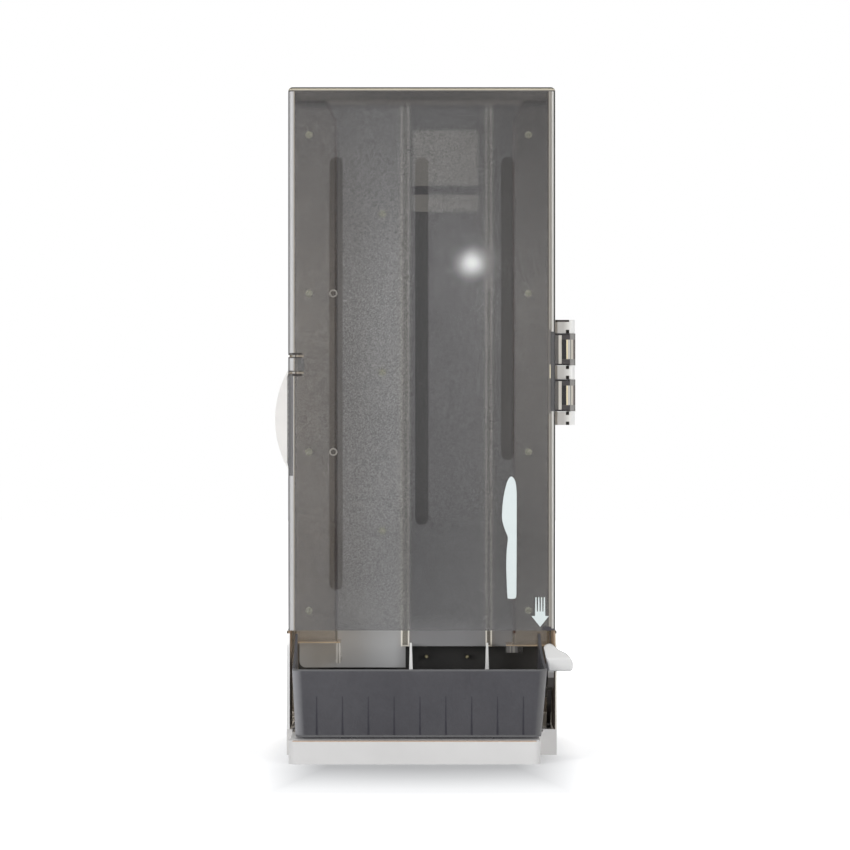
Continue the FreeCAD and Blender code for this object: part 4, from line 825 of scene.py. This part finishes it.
def pan_screw_tree():
    """A pan head screw with a cross recess and a ridged shank, stood on each point."""
    tree = Tree("pan_screw", {"Head Radius": 0.0034, "Head Height": 0.0016, "Shank Radius": 0.0015,
                              "Shank Length": 0.008, "Pitch": 0.0012, "Turn": (0.0, 0.0, 0.0)})
    give = tree.start.outputs
    height = give["Head Height"]
    lift = tree.node("ShaderNodeCombineXYZ", {2: height}).outputs[0]
    cap = tree.node("GeometryNodeMeshCone", {
        "Vertices": 28, "Radius Bottom": give["Head Radius"], "Depth": height,
        "Radius Top": tree.math("MULTIPLY", give["Head Radius"], 0.66)})
    slots = []
    for across, along in ((0.26, 1.05), (1.05, 0.26)):
        size = tree.node("ShaderNodeCombineXYZ", {
            0: tree.math("MULTIPLY", give["Head Radius"], across),
            1: tree.math("MULTIPLY", give["Head Radius"], along), 2: height})
        slot = tree.node("GeometryNodeMeshCube", {"Size": size.outputs[0]})
        raised = tree.node("GeometryNodeTransform", {0: slot.outputs[0], "Translation": lift})
        slots.append(raised.outputs[0])
    cut = tree.node("GeometryNodeMeshBoolean", {0: cap.outputs[0]},
                    operation="DIFFERENCE", solver="EXACT")
    for slot in slots:
        tree.group.links.new(slot, cut.inputs[1])
    count = tree.math("MULTIPLY", tree.math("DIVIDE", give["Shank Length"], give["Pitch"]), 2.0)
    shank = tree.node("GeometryNodeMeshCylinder", {
        "Vertices": 16, "Side Segments": count, "Radius": give["Shank Radius"],
        "Depth": give["Shank Length"]})
    low = tree.math("MULTIPLY", give["Shank Length"], -0.5)
    sunk = tree.node("GeometryNodeTransform", {
        0: shank.outputs[0], "Translation": tree.node("ShaderNodeCombineXYZ", {2: low}).outputs[0]})
    spot = tree.node("GeometryNodeInputPosition").outputs[0]
    down = tree.node("ShaderNodeSeparateXYZ", {0: spot}).outputs[2]
    turns = tree.math("DIVIDE", down, give["Pitch"])
    from_root = tree.math("ABSOLUTE", tree.math("SUBTRACT", tree.math("FRACT", turns), 0.5))
    ridge = tree.math("GREATER_THAN", from_root, 0.25)
    girth = tree.math("ADD", 0.78, tree.math("MULTIPLY", ridge, 0.22))
    scale = tree.node("ShaderNodeCombineXYZ", {0: girth, 1: girth, 2: 1.0}).outputs[0]
    wound = tree.node("ShaderNodeVectorMath", {0: spot, 1: scale}, operation="MULTIPLY").outputs[0]
    thread = tree.node("GeometryNodeSetPosition", {0: sunk.outputs[0], "Position": wound})
    screw = tree.join(cut.outputs[0], thread.outputs[0])
    turned = tree.node("FunctionNodeEulerToRotation", {0: give["Turn"]}).outputs[0]
    stood = tree.node("GeometryNodeInstanceOnPoints", {
        "Points": give["Geometry"], "Instance": screw, "Rotation": turned})
    tree.finish(stood.outputs[0], FINISHES["zinc_steel"])
    return tree


def screws():
    """The screws of the guides, the chute and the hinge bracket."""
    tree = pan_screw_tree()
    forward = (math.radians(90), 0.0, 0.0)
    right = (0.0, math.radians(90), 0.0)
    guide = [(x, GUIDE_FACE, z) for x in (-0.1068, 0.1010) for z in BOSS_HEIGHTS]
    back = [(-0.0377, CHUTE_FACE, 0.2089 + 0.152 * i) for i in range(3)]
    hinge = [(0.1296, 0.027675, z) for z in (0.3387, 0.3827)]
    for node, spots, turn, reach in (("guide_screws", guide, forward, 0.0346),
                                     ("back_screws", back, forward, 0.0079),
                                     ("hinge_screws", hinge, right, 0.0053)):
        mesh = tree.grow("dressed_" + node, spots, {"Shank Length": reach, "Turn": turn})
        made = piece("dressed_" + node, mesh, "tower", NODE_FINISH[node])
        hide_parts(node)


def lathe(shape, profile, centre, sides=40):
    """Turn a closed (radius, depth) profile about a line along Y through a centre."""
    rings = []
    for step in range(sides):
        turn = 2 * math.pi * step / sides
        rings.append([shape.verts.new((centre[0] + radius * math.cos(turn), centre[1] + depth,
                                       centre[2] + radius * math.sin(turn)))
                      for radius, depth in profile])
    for i, ring in enumerate(rings):
        after = rings[(i + 1) % sides]
        for k in range(len(profile)):
            m = (k + 1) % len(profile)
            shape.faces.new((ring[k], ring[m], after[m], after[k]))


def guide_rings():
    """Two small raised rings on the left guide's face, near its inner wall."""
    shape = bmesh.new()
    profile = [(0.0024, 0.0), (0.0038, 0.0), (0.0038, -0.0008), (0.0035, -0.0012),
               (0.0027, -0.0012), (0.0024, -0.0008)]
    for height in BOSS_HEIGHTS[1:3]:
        lathe(shape, profile, (-0.0838, GUIDE_FACE, height))
    bmesh.ops.recalc_face_normals(shape, faces=shape.faces)
    mesh = bpy.data.meshes.new("guide_rings")
    shape.to_mesh(mesh)
    shape.free()
    piece("guide_rings", mesh, "tower", "ring_cream")


screws()
guide_rings()


# ---------------------------------------------------------------- signs on the door
def knife_sign():
    """A table knife, blade up, printed low on the door's right side."""
    mm = [(84.4, 261.8), (81.2, 258.6), (78.7, 251.0), (76.6, 240.0), (75.6, 228.0), (75.8, 220.5),
          (78.0, 212.5), (80.6, 206.0), (80.9, 201.5), (80.0, 193.0), (79.5, 178.0), (79.9, 164.0),
          (80.6, 149.2), (81.8, 147.0), (87.2, 147.0), (88.9, 149.4), (89.1, 160.0), (89.2, 185.0),
          (89.3, 210.0), (89.3, 235.0), (89.2, 248.0), (87.9, 257.6)]
    outline = smooth_outline([(x / 1000, z / 1000) for x, z in mm])
    mesh = plate("knife_sign", outline, DOOR_FRONT, SIGN_THICKNESS)
    piece("knife_sign", mesh, "door", "sign_ink")


def arrow_sign():
    """An arrow that points down to the lever, with a tail of thin bars."""
    middle, bars = 0.1114, 4
    tip, neck, tail = 0.1203, 0.1306, 0.1482
    half_head, half_tail, bar, root = 0.0082, 0.0048, 0.0017, 0.0042
    head = [(middle, tip), (middle + half_head, neck), (middle + half_tail, neck),
            (middle + half_tail, neck + root), (middle - half_tail, neck + root),
            (middle - half_tail, neck), (middle - half_head, neck)]
    shape = bmesh.new()
    outlines = [head]
    for i in range(bars):
        left = middle - half_tail + i * (2 * half_tail - bar) / (bars - 1)
        outlines.append([(left, neck + root), (left + bar, neck + root),
                         (left + bar * 0.8, tail), (left + bar * 0.2, tail)])
    for outline in outlines:
        part = plate("arrow_part", outline, DOOR_FRONT, SIGN_THICKNESS)
        shape.from_mesh(part)
        bpy.data.meshes.remove(part)
    mesh = bpy.data.meshes.new("arrow_sign")
    shape.to_mesh(mesh)
    shape.free()
    piece("arrow_sign", mesh, "door", "sign_ink")


knife_sign()
arrow_sign()


# ---------------------------------------------------------------- studio
SKY_LEVEL = 0.42
CAMERA_END = 0.36
FLAG_LEVEL = 0.08
CAMERA_PLACE = (0.00306, -2.511125, 0.31027)
LENS = 111.2


def floor_finish():
    """White floor that keeps the object's shadow, with its glow for the camera turned down in a patch round
    the object's foot, reaching out in front and behind, which paints a shadow there over the real one.
    """
    recipe = Recipe("floor_white")
    recipe.skin_colour((0.55, 0.555, 0.565))
    recipe.skin_roughness(0.9)
    recipe.feed(recipe.skin, "Specular IOR Level", 0.0)
    glow = recipe.node("ShaderNodeEmission")
    path = recipe.node("ShaderNodeLightPath")
    x, y, _ = recipe.axes()
    away = recipe.vector("LENGTH", recipe.place)
    depth = recipe.math("ABSOLUTE", y)
    # painted shadow: the glow fades out near the object, most in front of and behind it
    ahead = recipe.math("ADD", recipe.spread(depth, 0.0, 0.33, 0.126, 0.275),
                        recipe.spread(depth, 0.0, 0.40, 0.29, 0.42))
    beside = recipe.spread(recipe.math("ABSOLUTE", x), 0.0, 0.55, 0.085, 0.150)
    level = recipe.math("ADD", recipe.either(ahead, beside), recipe.spread(away, 0.0, 0.30, 0.20, 0.70))
    recipe.feed(glow, "Strength", recipe.math("MULTIPLY", path.outputs["Is Camera Ray"], level))
    lit = recipe.node("ShaderNodeAddShader")
    recipe.tree.links.new(recipe.skin.outputs[0], lit.inputs[0])
    recipe.tree.links.new(glow.outputs[0], lit.inputs[1])
    recipe.tree.links.new(lit.outputs[0], recipe.output.inputs["Surface"])
    return recipe.material


def floor():
    mesh = bpy.data.meshes.new("studio_floor")
    reach = 6.0
    mesh.from_pydata([(-reach, -reach, 0), (reach, -reach, 0), (reach, reach, 0), (-reach, reach, 0)],
                     [], [(0, 1, 2, 3)])
    mesh.materials.append(floor_finish())
    ground = bpy.data.objects.new("studio_floor", mesh)
    bpy.context.scene.collection.objects.link(ground)


def surroundings():
    """White for what the camera and clear plastic see, a soft grey light, and a studio for gloss.

    Gloss sees a white room with a dimmer end behind the camera and dark flags behind the object,
    which draw the dark outline along its rounded plastic edges.
    """
    world = bpy.data.worlds.new("studio_world")
    bpy.context.scene.world = world
    world.use_nodes = True
    tree = world.node_tree
    tree.nodes.clear()

    def math_node(operation, *values):
        item = tree.nodes.new("ShaderNodeMath")
        item.operation = operation
        for index, value in enumerate(values):
            if isinstance(value, bpy.types.NodeSocket):
                tree.links.new(value, item.inputs[index])
            else:
                item.inputs[index].default_value = value
        return item.outputs[0]

    def slope(value, start, end, low, high):
        item = tree.nodes.new("ShaderNodeMapRange")
        tree.links.new(value, item.inputs["Value"])
        for socket, number in (("From Min", start), ("From Max", end), ("To Min", low), ("To Max", high)):
            item.inputs[socket].default_value = number
        return item.outputs[0]

    path = tree.nodes.new("ShaderNodeLightPath")
    place = tree.nodes.new("ShaderNodeTexCoord")
    parts = tree.nodes.new("ShaderNodeSeparateXYZ")
    tree.links.new(place.outputs["Generated"], parts.inputs[0])
    back = parts.outputs[1]
    straight = slope(back, 0.94, 0.98, 0.0, 1.0)
    raised = math_node("MULTIPLY", math_node("MAXIMUM", parts.outputs[2], 0.0), 0.35)
    behind = math_node("ADD", slope(math_node("ADD", back, raised), 0.25, 0.40, 1.0, FLAG_LEVEL), straight)
    front = slope(back, -0.98, -0.80, CAMERA_END, 1.0)
    room = math_node("MULTIPLY", math_node("MINIMUM", behind, 1.0), front)
    seen = math_node("MAXIMUM", path.outputs["Is Camera Ray"], path.outputs["Is Transmission Ray"])
    gloss = math_node("MULTIPLY", path.outputs["Is Glossy Ray"], math_node("SUBTRACT", 1.0, seen))
    level = math_node("ADD", seen, math_node("MULTIPLY", gloss, room))
    plain = math_node("SUBTRACT", 1.0, math_node("MAXIMUM", seen, gloss))
    level = math_node("ADD", level, math_node("MULTIPLY", plain, SKY_LEVEL))
    light = tree.nodes.new("ShaderNodeBackground")
    light.inputs["Color"].default_value = (1.0, 1.0, 1.0, 1.0)
    tree.links.new(level, light.inputs["Strength"])
    output = tree.nodes.new("ShaderNodeOutputWorld")
    tree.links.new(light.outputs[0], output.inputs["Surface"])


def lamp(name, spot, aim, size, watts):
    """A soft lamp that looks at a point."""
    data = bpy.data.lights.new(name, "AREA")
    data.size = size
    data.energy = watts
    thing = bpy.data.objects.new(name, data)
    thing.location = spot
    thing.rotation_euler = (Vector(aim) - Vector(spot)).to_track_quat("-Z", "Y").to_euler()
    bpy.context.scene.collection.objects.link(thing)
    return thing


def camera():
    data = bpy.data.cameras.new("camera")
    data.lens = LENS
    data.sensor_width = 36.0
    thing = bpy.data.objects.new("camera", data)
    thing.location = CAMERA_PLACE
    thing.rotation_euler = (math.radians(90), 0, 0)
    bpy.context.scene.collection.objects.link(thing)
    bpy.context.scene.camera = thing


floor()
surroundings()
for soft in (lamp("overhead_soft", (0.0, 0.60, 2.4), (0.0, 0.0, 0.3), 1.8, 42),
             lamp("left_soft", (-2.0, -1.9, 0.55), (0.0, 0.0, 0.3), 1.2, 46),
             lamp("right_soft", (2.0, -1.9, 0.55), (0.0, 0.0, 0.3), 1.2, 40)):
    soft.visible_glossy = False
spark = lamp("front_spark", (0.0915, -2.511, 0.6149), (0.0473, -0.041, 0.4626), 0.038, 0.085)
spark.data.shape = "DISK"
camera()

bpy.context.scene.view_settings.view_transform = "Standard"
